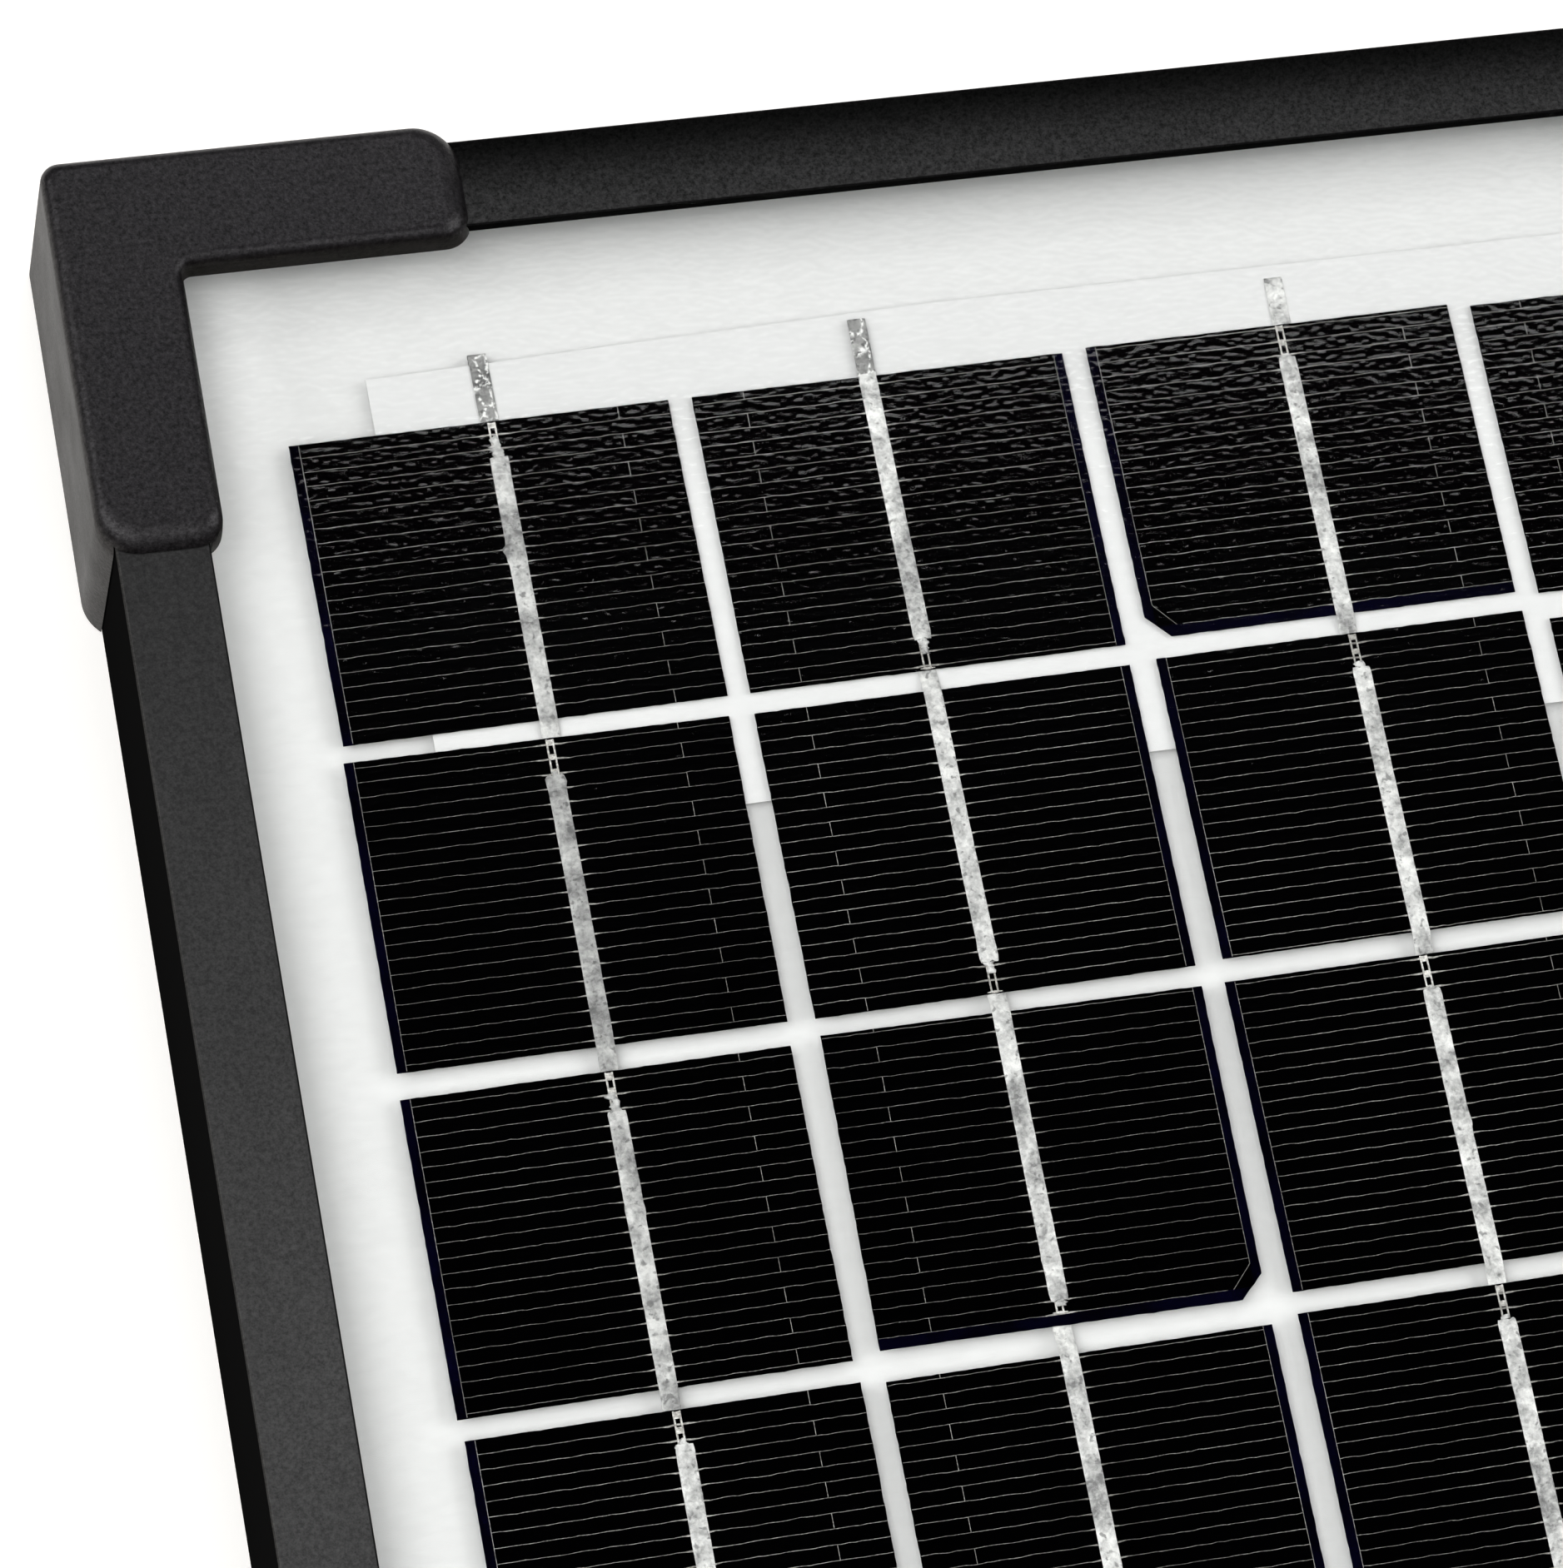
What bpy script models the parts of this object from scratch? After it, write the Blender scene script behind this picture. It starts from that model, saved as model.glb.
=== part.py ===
"""Small framed photovoltaic module: 36 tabbed silicon cells in four strings, laminated behind
textured glass, held in a black anodised aluminium frame with moulded corner caps, and a slim
junction box on the back.

Metres, +Z up. The module lies on its back with the glass upward. X runs across the four strings,
Y along them, and the origin is the centre of the footprint on the plane that the frame rests on.
"""

import math

import bmesh
import bpy
from mathutils import Vector

MM = 0.001

# ---- overall frame ------------------------------------------------------------------------
FRAME_W = 163.4  # across the strings, outside of the extrusion
FRAME_L = 292.5  # along the strings, outside of the extrusion
FRAME_H = 18.2  # height of the extrusion
WALL = 1.3  # general wall of the extrusion
LIP_W = 7.5  # width of the lip over the glass
LIP_T = 1.2
CHAMBER_OUT = 8.0  # outside width of the hollow that takes the corner keys
LEDGE_TOP = 11.0  # shelf that carries the laminate
FLANGE_W = 16.0  # foot that carries the mounting slots
FLANGE_T = 1.3
MITRE_GAP = 0.15  # each mitred end stands back by this much
SLOT_W = 4.5
SLOT_L = 8.0
SLOT_U = 12.2  # slot centre, from the outside of the frame
SLOT_Y = 73.0  # slots sit at plus and minus this along the long rails

# ---- corner caps --------------------------------------------------------------------------
CAP_OUT = 1.35  # how far a cap stands proud of the frame's sides and of its lip
CAP_ARM = 32.6  # length of each arm, from the outside of the frame
CAP_IN = 8.8  # inner edge of an arm, from the outside of the frame
CAP_FIT = 0.3  # clearance between cap and frame
CAP_R_MAIN = 1.5  # plan radius of the cap's own corner
CAP_R_END_OUT = 3.6  # plan radii of the free ends
CAP_R_END_IN = 2.6
CAP_R_NOOK = 0.9  # plan radius of the inner corner
CAP_EDGE = 0.95  # rounding of the top edges

# ---- laminate, heights above the resting plane --------------------------------------------
GLASS_TOP = 16.68
GLASS_T = 3.2
LAM_INSET = 1.9  # laminate edge, from the outside of the frame
ENCAP_TOP, ENCAP_BOTTOM = 13.43, 11.75
CAVITY_TOP, CAVITY_BOTTOM = 13.15, 12.02
CAVITY_INSET = 12.0
WAFER_BOTTOM = 12.70
WAFER_T = 0.20
SHEET_TOP, SHEET_BOTTOM = 12.46, 12.34
BUS_TOP, BUS_BOTTOM = 12.28, 12.10
BACK_TOP, BACK_BOTTOM = 11.65, 11.35

# ---- cells --------------------------------------------------------------------------------
COLS, ROWS = 4, 9
CELL_W = 31.35
CELL_H = 25.86
PITCH_X = 33.5
PITCH_Y = 27.8
MARGIN_X = 15.8  # outside of the frame to the first cell
MARGIN_Y = 22.1
CHAMFER = 1.9
RIBBON_W = 1.5
RIBBON_T = 0.15
RIBBON_AT = 0.53  # ribbon centre, as a share of the width from the wafer's outer edge
RIBBON_START = 3.6  # bare length of busbar before the ribbon begins
STUB = 5.5
TAIL_UNDER = 21.0  # how far a tail runs on under the next cell

# ---- junction box -------------------------------------------------------------------------
BOX_X, BOX_Y = 0.0, 96.0
BOX_W, BOX_L = 56.0, 44.0
BOX_TOP = 11.05
BOX_RIM = 2.3
BOX_WALL = 1.7
BOX_R = 4.0
LID_BOTTOM = 0.8
GLAND_Z = 6.3
GLAND_BORE_R = 3.0
GLAND_R = 3.8
GLAND_NUT_R = 4.7
LEAD_X = 7.5  # the two lead slots lie this far either side of the box's centre
LEAD_Y = 104.0
LEAD_SLOT_W, LEAD_SLOT_L = 4.2, 2.6

for old in list(bpy.data.objects):
    bpy.data.objects.remove(old, do_unlink=True)


# ---- materials ----------------------------------------------------------------------------
def material(name, colour, roughness, metallic=0.0, alpha=1.0):
    mat = bpy.data.materials.new(name)
    mat.use_nodes = True
    shader = mat.node_tree.nodes["Principled BSDF"]
    shader.inputs["Base Color"].default_value = (*colour, 1.0)
    shader.inputs["Roughness"].default_value = roughness
    shader.inputs["Metallic"].default_value = metallic
    shader.inputs["Alpha"].default_value = alpha
    mat.diffuse_color = (*colour, alpha)
    return mat


ANODISED = material("anodised_black", (0.035, 0.035, 0.036), 0.42, 0.6)
CAP_PLASTIC = material("cap_plastic", (0.030, 0.028, 0.031), 0.46)
KEY_METAL = material("key_metal", (0.55, 0.56, 0.57), 0.35, 1.0)
GLASS = material("textured_glass", (0.86, 0.9, 0.89), 0.12, 0.0, 0.35)
ENCAPSULANT = material("encapsulant", (0.9, 0.9, 0.88), 0.3, 0.0, 0.4)
SILICON = material("silicon", (0.006, 0.006, 0.012), 0.2)
TIN = material("tinned_copper", (0.72, 0.71, 0.70), 0.3, 1.0)
WHITE_SHEET = material("white_sheet", (0.83, 0.83, 0.82), 0.6)
BOX_PLASTIC = material("box_plastic", (0.02, 0.02, 0.021), 0.5)


# ---- mesh helpers -------------------------------------------------------------------------
def link(name, mesh, mat):
    obj = bpy.data.objects.new(name, mesh)
    bpy.context.scene.collection.objects.link(obj)
    if mat is not None and not mesh.materials:
        mesh.materials.append(mat)
    return obj


def finished(bm, name):
    bmesh.ops.recalc_face_normals(bm, faces=bm.faces)
    mesh = bpy.data.meshes.new(name)
    bm.to_mesh(mesh)
    bm.free()
    return mesh


def prism_bm(points, low, high, axis="Z"):
    """Closed prism of a plan outline, in millimetres, along Z, or along X for a Y-Z outline."""
    bm = bmesh.new()

    def place(p, h):
        return (p[0] * MM, p[1] * MM, h * MM) if axis == "Z" else (h * MM, p[0] * MM, p[1] * MM)

    bottom = [bm.verts.new(place(p, low)) for p in points]
    top = [bm.verts.new(place(p, high)) for p in points]
    bm.faces.new(bottom[::-1])
    bm.faces.new(top)
    n = len(points)
    for i in range(n):
        j = (i + 1) % n
        bm.faces.new((bottom[i], bottom[j], top[j], top[i]))
    return bm


def prism(name, points, low, high, mat, axis="Z"):
    return link(name, finished(prism_bm(points, low, high, axis), name), mat)


def rect(x0, x1, y0, y1):
    return [(x0, y0), (x1, y0), (x1, y1), (x0, y1)]


def box(name, x0, x1, y0, y1, z0, z1, mat):
    return prism(name, rect(x0, x1, y0, y1), z0, z1, mat)


def rounded(corners, steps=5):
    """Outline with each corner (x, y, radius) turned into an arc; works for both turn directions."""
    out = []
    n = len(corners)
    for i, (x, y, r) in enumerate(corners):
        here = Vector((x, y))
        back = (Vector(corners[i - 1][:2]) - here).normalized()
        ahead = (Vector(corners[(i + 1) % n][:2]) - here).normalized()
        if r <= 0:
            out.append((x, y))
            continue
        centre = here + (back + ahead) * r
        start = here + back * r - centre
        end = here + ahead * r - centre
        a0 = math.atan2(start.y, start.x)
        turn = math.atan2(start.x * end.y - start.y * end.x, start.dot(end))
        for k in range(steps + 1):
            a = a0 + turn * k / steps
            out.append((centre.x + r * math.cos(a), centre.y + r * math.sin(a)))
    return out


def tube_outline(cx, cz, r, sides):
    return [
        (cx + r * math.cos(2 * math.pi * k / sides), cz + r * math.sin(2 * math.pi * k / sides))
        for k in range(sides)
    ]


def lathe_y(name, cx, cz, stations, sides, mat):
    """Body turned about a line along Y: stations are (y, radius), first to last round the section."""
    bm = bmesh.new()
    rings = []
    for y, r, flats in stations:
        pts = tube_outline(cx, cz, r, flats)
        rings.append([bm.verts.new((p[0] * MM, y * MM, p[1] * MM)) for p in pts])
    for i in range(len(rings)):
        a, b = rings[i], rings[(i + 1) % len(rings)]
        for k in range(sides):
            j = (k + 1) % sides
            bm.faces.new((a[k], a[j], b[j], b[k]))
    return link(name, finished(bm, name), mat)


def cut(obj, cutter, operation="DIFFERENCE"):
    """Boolean whose cutter is dropped afterwards: the result becomes the object's own mesh."""
    mod = obj.modifiers.new("bool", "BOOLEAN")
    mod.operation = operation
    mod.solver = "EXACT"
    mod.object = cutter
    bpy.context.view_layer.update()
    deps = bpy.context.evaluated_depsgraph_get()
    mesh = bpy.data.meshes.new_from_object(obj.evaluated_get(deps), depsgraph=deps)
    obj.modifiers.remove(mod)
    mats = list(obj.data.materials)
    obj.data = mesh
    mesh.materials.clear()
    for mat in mats:
        mesh.materials.append(mat)
    bpy.data.objects.remove(cutter, do_unlink=True)
    return obj


def join(obj, other):
    return cut(obj, other, "UNION")


# ---- frame rails --------------------------------------------------------------------------
def rail_profile():
    """Section of the extrusion: (distance in from the outside, height above the foot)."""
    return [
        (0.0, 0.0),
        (FLANGE_W, 0.0),
        (FLANGE_W, FLANGE_T),
        (CHAMBER_OUT, FLANGE_T),
        (CHAMBER_OUT, LEDGE_TOP),
        (WALL, LEDGE_TOP),
        (WALL, FRAME_H - LIP_T),
        (LIP_W, FRAME_H - LIP_T),
        (LIP_W, FRAME_H - 0.12),
        (LIP_W - 0.12, FRAME_H),
        (0.12, FRAME_H),
        (0.0, FRAME_H - 0.12),
    ]


def rail(name, length, half_across, side, slots):
    """Mitred rail. side is the outward direction; the section is swept between two 45 degree cuts."""
    section = rail_profile()
    bm = bmesh.new()
    out = Vector(side)
    along = Vector((-out.y, out.x, 0.0))
    rings = []
    for end in (-1, 1):
        ring = []
        for u, v in section:
            reach = length / 2 - u - MITRE_GAP
            p = out * (half_across - u) + along * (end * reach) + Vector((0, 0, v))
            ring.append(bm.verts.new(p * MM))
        rings.append(ring)
    n = len(section)
    bm.faces.new(rings[0])
    bm.faces.new(rings[1][::-1])
    for i in range(n):
        j = (i + 1) % n
        bm.faces.new((rings[0][i], rings[1][i], rings[1][j], rings[0][j]))
    obj = link(name, finished(bm, name), ANODISED)

    u0, u1 = WALL, CHAMBER_OUT - WALL
    half = length / 2 + 5
    if out.x:
        xs = sorted((out.x * (half_across - u0), out.x * (half_across - u1)))
        chamber = box("cutter", xs[0], xs[1], -half, half, FLANGE_T, LEDGE_TOP - WALL, None)
    else:
        ys = sorted((out.y * (half_across - u0), out.y * (half_across - u1)))
        chamber = box("cutter", -half, half, ys[0], ys[1], FLANGE_T, LEDGE_TOP - WALL, None)
    cut(obj, chamber)
    for at in slots:
        cx = out.x * (half_across - SLOT_U)
        r = SLOT_W / 2
        outline = rounded(
            [
                (cx - r, at - SLOT_L / 2, r * 0.999),
                (cx + r, at - SLOT_L / 2, r * 0.999),
                (cx + r, at + SLOT_L / 2, r * 0.999),
                (cx - r, at + SLOT_L / 2, r * 0.999),
            ],
            4,
        )
        cut(obj, prism("cutter", outline, -2, FLANGE_T + 2, None))
    return obj


HW, HL = FRAME_W / 2, FRAME_L / 2
rail("frame_rail_left", FRAME_L, HW, (-1, 0, 0), (-SLOT_Y, SLOT_Y))
rail("frame_rail_right", FRAME_L, HW, (1, 0, 0), (-SLOT_Y, SLOT_Y))
rail("frame_rail_top", FRAME_W, HL, (0, 1, 0), ())
rail("frame_rail_bottom", FRAME_W, HL, (0, -1, 0), ())


# ---- corner keys: an angle pressed into the chambers of two rails --------------------------
def mirrored(points, sx, sy):
    out = [(sx * x, sy * y) for x, y in points]
    return out if sx * sy > 0 else out[::-1]


def corner_key(name, sx, sy):
    near = WALL + 0.3
    far = CHAMBER_OUT - WALL - 0.3
    reach = 27.0
    nose = 1.2
    # outline in the first quadrant, measured back from the frame's outer corner
    pts = [
        (near, near),
        (reach - nose, near),
        (reach, near + nose),
        (reach, far - nose),
        (reach - nose, far),
        (far, far),
        (far, reach - nose),
        (far - nose, reach),
        (near + nose, reach),
        (near, reach - nose),
    ]
    pts = [(HW - x, HL - y) for x, y in pts]
    return prism(name, mirrored(pts, sx, sy), FLANGE_T + 0.3, LEDGE_TOP - WALL - 0.3, KEY_METAL)


# ---- corner caps --------------------------------------------------------------------------
def corner_cap(name, sx, sy):
    corners = [
        (-CAP_OUT, -CAP_OUT, CAP_R_MAIN),
        (CAP_ARM, -CAP_OUT, CAP_R_END_OUT),
        (CAP_ARM, CAP_IN, CAP_R_END_IN),
        (CAP_IN, CAP_IN, CAP_R_NOOK),
        (CAP_IN, CAP_ARM, CAP_R_END_IN),
        (-CAP_OUT, CAP_ARM, CAP_R_END_OUT),
    ]
    outline = [(HW - x, HL - y) for x, y in rounded(corners, 5)]
    top = FRAME_H + CAP_OUT
    bm = prism_bm(mirrored(outline, sx, sy), 0.0, top)
    rim = [
        e for e in bm.edges if all(abs(v.co.z - top * MM) < 1e-7 for v in e.verts)
    ]
    bmesh.ops.bevel(
        bm, geom=rim, offset=CAP_EDGE * MM, offset_type="OFFSET", segments=3, profile=0.5,
        affect="EDGES", clamp_overlap=True,
    )
    cap = link(name, finished(bm, name), CAP_PLASTIC)
    # room for the extrusion below, and for the lip alone where the inner wall hangs down
    big = [
        (-CAP_FIT, -CAP_FIT),
        (CAP_ARM + 5, -CAP_FIT),
        (CAP_ARM + 5, CAP_ARM + 5),
        (-CAP_FIT, CAP_ARM + 5),
    ]
    big = mirrored([(HW - x, HL - y) for x, y in big], sx, sy)
    cut(cap, prism("cutter", big, -3.0, GLASS_TOP + 0.3, None))
    lip = LIP_W + CAP_FIT
    ell = [
        (-CAP_FIT, -CAP_FIT),
        (CAP_ARM + 5, -CAP_FIT),
        (CAP_ARM + 5, lip),
        (lip, lip),
        (lip, CAP_ARM + 5),
        (-CAP_FIT, CAP_ARM + 5),
    ]
    ell = mirrored([(HW - x, HL - y) for x, y in ell], sx, sy)
    cut(cap, prism("cutter", ell, -3.5, FRAME_H + CAP_FIT, None))
    return cap


CORNERS = {
    "top_left": (-1, 1),
    "top_right": (1, 1),
    "bottom_left": (-1, -1),
    "bottom_right": (1, -1),
}
for where, (sx, sy) in CORNERS.items():
    corner_key("corner_key_" + where, sx, sy)
    corner_cap("corner_cap_" + where, sx, sy)


# ---- laminate: glass, encapsulant, white back sheet ----------------------------------------
LX, LY = HW - LAM_INSET, HL - LAM_INSET
box("glass_pane", -LX, LX, -LY, LY, GLASS_TOP - GLASS_T, GLASS_TOP, GLASS)


def lead_slots(obj, low, high, grow=0.0):
    for s in (-1, 1):
        w, l = LEAD_SLOT_W / 2 + grow, LEAD_SLOT_L / 2 + grow
        x = BOX_X + s * LEAD_X
        cut(obj, box("cutter", x - w, x + w, LEAD_Y - l, LEAD_Y + l, low, high, None))


encapsulant = box("encapsulant", -LX, LX, -LY, LY, ENCAP_BOTTOM, ENCAP_TOP, ENCAPSULANT)
CX, CY = HW - CAVITY_INSET, HL - CAVITY_INSET
cut(encapsulant, box("cutter", -CX, CX, -CY, CY, CAVITY_BOTTOM, CAVITY_TOP, None))
lead_slots(encapsulant, ENCAP_BOTTOM - 1, CAVITY_BOTTOM + 0.5)
back = box("back_sheet", -LX, LX, -LY, LY, BACK_BOTTOM, BACK_TOP, WHITE_SHEET)
lead_slots(back, BACK_BOTTOM - 1, BACK_TOP + 1)


# ---- tabbed cells -------------------------------------------------------------------------
# A cell is a wafer with its front ribbon soldered on. The ribbon's tail leaves over the lower
# edge and dives under the next cell. Strings 2 and 4 use the same cell turned by half a turn.
def tabbed_cell(kind, chamfered):
    hw, hh = CELL_W / 2, CELL_H / 2
    c = CHAMFER
    outline = []
    outline += [(-hw, -hh + c), (-hw + c, -hh)] if chamfered == "low" else [(-hw, -hh)]
    outline += [(hw, -hh), (hw, hh)]
    outline += [(-hw + c, hh), (-hw, hh - c)] if chamfered == "high" else [(-hw, hh)]
    name = "cell_" + kind + "_" + (chamfered or "plain")
    wafer = prism(name, outline, 0.0, WAFER_T, SILICON)
    x = -hw + RIBBON_AT * CELL_W
    z0, z1 = WAFER_T - 0.05, WAFER_T + RIBBON_T
    start = hh - RIBBON_START
    if kind == "link":
        gap = PITCH_Y - CELL_H
        low = -RIBBON_T - 0.03
        run = [
            (start, z1),
            (start, z0),
            (-hh + 0.4, z0),
            (-hh - 0.12, WAFER_T + 0.005),
            (-hh - gap + 0.12, low),
            (-hh - gap - TAIL_UNDER, low),
            (-hh - gap - TAIL_UNDER, low + RIBBON_T),
            (-hh - gap + 0.12, low + RIBBON_T),
            (-hh - 0.12, z1),
        ]
    else:
        run = [
            (start, z1),
            (start, z0),
            (-hh + 0.4, z0),
            (-hh - 0.12, WAFER_T + 0.005),
            (-hh - STUB, WAFER_T + 0.005),
            (-hh - STUB, z1),
        ]
    strip = prism("strip", run, x - RIBBON_W / 2, x + RIBBON_W / 2, None, axis="X")
    join(wafer, strip)
    mesh = wafer.data
    bpy.data.objects.remove(wafer, do_unlink=True)
    return mesh


CELLS = {}


def cell_mesh(kind, chamfered):
    key = (kind, chamfered)
    if key not in CELLS:
        CELLS[key] = tabbed_cell(kind, chamfered)
    return CELLS[key]


# pieces cut from a wafer's rounded corners, named (string, row) and the side that is chamfered
CORNER_PIECES = {(3, 1): "low", (2, 3): "high", (1, 6): "high", (4, 7): "low"}


def cell_centre(col, row):
    return (
        -HW + MARGIN_X + CELL_W / 2 + (col - 1) * PITCH_X,
        HL - MARGIN_Y - CELL_H / 2 - (row - 1) * PITCH_Y,
    )


for col in range(1, COLS + 1):
    turned = col % 2 == 0
    for row in range(1, ROWS + 1):
        last = row == (1 if turned else ROWS)
        mesh = cell_mesh("end" if last else "link", CORNER_PIECES.get((col, row)))
        cell = link(f"cell_c{col}_r{row}", mesh, SILICON)
        x, y = cell_centre(col, row)
        cell.location = (x * MM, y * MM, WAFER_BOTTOM * MM)
        if turned:
            cell.rotation_euler = (0.0, 0.0, math.pi)


# ---- collecting ribbons ---------------------------------------------------------------------
def ribbon_x(col):
    x, _ = cell_centre(col, 1)
    offset = (RIBBON_AT - 0.5) * CELL_W
    return x + (offset if col % 2 else -offset)


TOP_ROW = HL - MARGIN_Y  # top edge of row 1
BOTTOM_ROW = HL - MARGIN_Y - (ROWS - 1) * PITCH_Y - CELL_H
TAIL_Z0, TAIL_Z1 = WAFER_BOTTOM - 0.18, WAFER_BOTTOM - 0.03
BUS_W = 2.0


def end_tab(name, col, edge, direction):
    """Ribbon soldered to the back of an end cell, standing out past its edge by the stub length."""
    x = ribbon_x(col)
    ys = sorted((edge - direction * 20.0, edge + direction * STUB))
    return box(name, x - RIBBON_W / 2, x + RIBBON_W / 2, ys[0], ys[1], TAIL_Z0, TAIL_Z1, TIN)


def lead(name, col, side):
    """End tab or stub joint, a run behind the insulating sheet and a leg down into the box."""
    x = ribbon_x(col)
    h = BUS_W / 2
    y_top, y_mid = TOP_ROW + 2.2, LEAD_Y
    x_drop = x + side * 8.0
    x_leg = BOX_X - side * LEAD_X
    pts = [
        (x - side * h, y_top + h),
        (x - side * h, y_top - h),
        (x_drop - side * h, y_top - h),
        (x_drop - side * h, y_mid - h),
        (x_leg + side * h, y_mid - h),
        (x_leg + side * h, y_mid + h * 0.6),
        (x_drop + side * h, y_mid + h),
        (x_drop + side * h, y_top + h),
    ]
    body = prism(name, pts, BUS_BOTTOM, BUS_TOP, TIN)
    leg = box(
        "leg", x_leg - h, x_leg + h, LEAD_Y - 0.3, LEAD_Y + 0.2, 5.2, BUS_TOP - 0.02, None
    )
    join(body, leg)
    return body


def riser(col, y, z0, z1):
    x = ribbon_x(col)
    return box("riser", x - RIBBON_W / 2, x + RIBBON_W / 2, y - 0.25, y + 0.25, z0, z1, None)


# string 1 starts with a tab under its first cell, which wraps over the sheet's edge to the lead
positive = lead("lead_ribbon_positive", 1, 1)
tab = end_tab("tab", 1, TOP_ROW, 1)
join(tab, riser(1, TOP_ROW + STUB - 0.25, BUS_BOTTOM, TAIL_Z1 - 0.01))
x1 = ribbon_x(1)
join(tab, box("foot", x1 - RIBBON_W / 2, x1 + RIBBON_W / 2, TOP_ROW + 2.0, TOP_ROW + STUB - 0.1,
              BUS_BOTTOM + 0.02, BUS_TOP - 0.02, None))
join(positive, tab)

# string 4 ends at its first cell, whose stub lies in front: the lead rises to meet it
negative = lead("lead_ribbon_negative", 4, -1)
x4 = ribbon_x(4)
join(negative, riser(4, TOP_ROW + STUB + 0.15, BUS_BOTTOM, WAFER_BOTTOM - 0.1))
join(negative, box("foot", x4 - RIBBON_W / 2, x4 + RIBBON_W / 2, TOP_ROW + 2.0, TOP_ROW + STUB + 0.2,
                   BUS_BOTTOM + 0.02, BUS_TOP - 0.02, None))

# strings 2 and 3 are linked above row 1
link_23 = end_tab("link_ribbon_top", 3, TOP_ROW, 1)
x2, x3 = ribbon_x(2), ribbon_x(3)
join(link_23, riser(3, TOP_ROW + STUB - 0.25, BUS_BOTTOM, TAIL_Z1 - 0.01))
join(link_23, box("bar", x2 - 1.0, x3 + RIBBON_W / 2, TOP_ROW + 3.0, TOP_ROW + STUB - 0.1,
                  BUS_BOTTOM + 0.02, BUS_TOP - 0.02, None))

# strings 1 and 2, and strings 3 and 4, are linked below row 9
for name, a, b in (("link_ribbon_bottom_left", 1, 2), ("link_ribbon_bottom_right", 3, 4)):
    piece = end_tab(name, b, BOTTOM_ROW, -1)
    xa, xb = ribbon_x(a), ribbon_x(b)
    join(piece, box("bar", xa - 1.0, xb + RIBBON_W / 2, BOTTOM_ROW - STUB - 0.02, BOTTOM_ROW - STUB + BUS_W,
                    TAIL_Z0 + 0.02, TAIL_Z1 + 0.08, None))

# ---- insulating sheet behind the upper rows, over the lead ribbons ---------------------------
SHEET_X = HW - 22.9
SHEET_HIGH = TOP_ROW + STUB - 0.75
SHEET_LOW = HL - 57.3
box("insulating_sheet", -SHEET_X, SHEET_X, SHEET_LOW, SHEET_HIGH, SHEET_BOTTOM, SHEET_TOP, WHITE_SHEET)


# ---- junction box -----------------------------------------------------------------------------
def box_outline(inset, radius, steps=5):
    w, l = BOX_W / 2 - inset, BOX_L / 2 - inset
    return rounded(
        [
            (BOX_X - w, BOX_Y - l, radius),
            (BOX_X + w, BOX_Y - l, radius),
            (BOX_X + w, BOX_Y + l, radius),
            (BOX_X - w, BOX_Y + l, radius),
        ],
        steps,
    )


base = prism("junction_box_base", box_outline(0, BOX_R), BOX_RIM, BOX_TOP, BOX_PLASTIC)
cut(base, prism("cutter", box_outline(BOX_WALL, BOX_R - BOX_WALL), BOX_RIM - 2, BOX_TOP - 1.5, None))
lead_slots(base, BOX_TOP - 3, BOX_TOP + 1)
wall_y = BOX_Y - BOX_L / 2
bore = tube_outline(BOX_X, GLAND_Z, GLAND_R + 0.3, 24)
bore_cut = bmesh.new()
rings = [
    [bore_cut.verts.new((p[0] * MM, y * MM, p[1] * MM)) for p in bore]
    for y in (wall_y - 2, wall_y + BOX_WALL + 2)
]
bore_cut.faces.new(rings[0])
bore_cut.faces.new(rings[1][::-1])
for k in range(len(bore)):
    j = (k + 1) % len(bore)
    bore_cut.faces.new((rings[0][k], rings[1][k], rings[1][j], rings[0][j]))
cut(base, link("cutter", finished(bore_cut, "cutter"), None))

lid = prism("junction_box_lid", box_outline(0, BOX_R), LID_BOTTOM, BOX_RIM - 0.3, BOX_PLASTIC)
rim = prism("rim", box_outline(BOX_WALL + 0.3, BOX_R - BOX_WALL - 0.3), BOX_RIM - 0.5, BOX_RIM + 0.8, None)
inner = prism("inner", box_outline(BOX_WALL + 1.5, BOX_R - BOX_WALL - 1.5), BOX_RIM - 0.3, BOX_RIM + 3, None)
cut(rim, inner)
join(lid, rim)

# the gland is a flanged tube through the lower wall, with a round bore right through
N = 24
lathe_y(
    "cable_gland",
    BOX_X,
    GLAND_Z,
    [
        (wall_y + BOX_WALL, GLAND_BORE_R, N),
        (wall_y + BOX_WALL, GLAND_R, N),
        (wall_y - 0.3, GLAND_R, N),
        (wall_y - 0.3, GLAND_NUT_R - 0.4, N),
        (wall_y - 0.7, GLAND_NUT_R, N),
        (wall_y - 4.6, GLAND_NUT_R, N),
        (wall_y - 5.0, GLAND_NUT_R - 0.4, N),
        (wall_y - 9.0, GLAND_R, N),
        (wall_y - 9.0, GLAND_BORE_R, N),
    ],
    N,
    BOX_PLASTIC,
)

for obj in bpy.data.objects:
    if obj.type == "MESH":
        obj.data.shade_smooth()
        obj.data.set_sharp_from_angle(angle=math.radians(32))
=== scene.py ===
import math
import random

import bmesh
import bpy
import numpy as np
from mathutils import Matrix, Vector, noise


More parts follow.
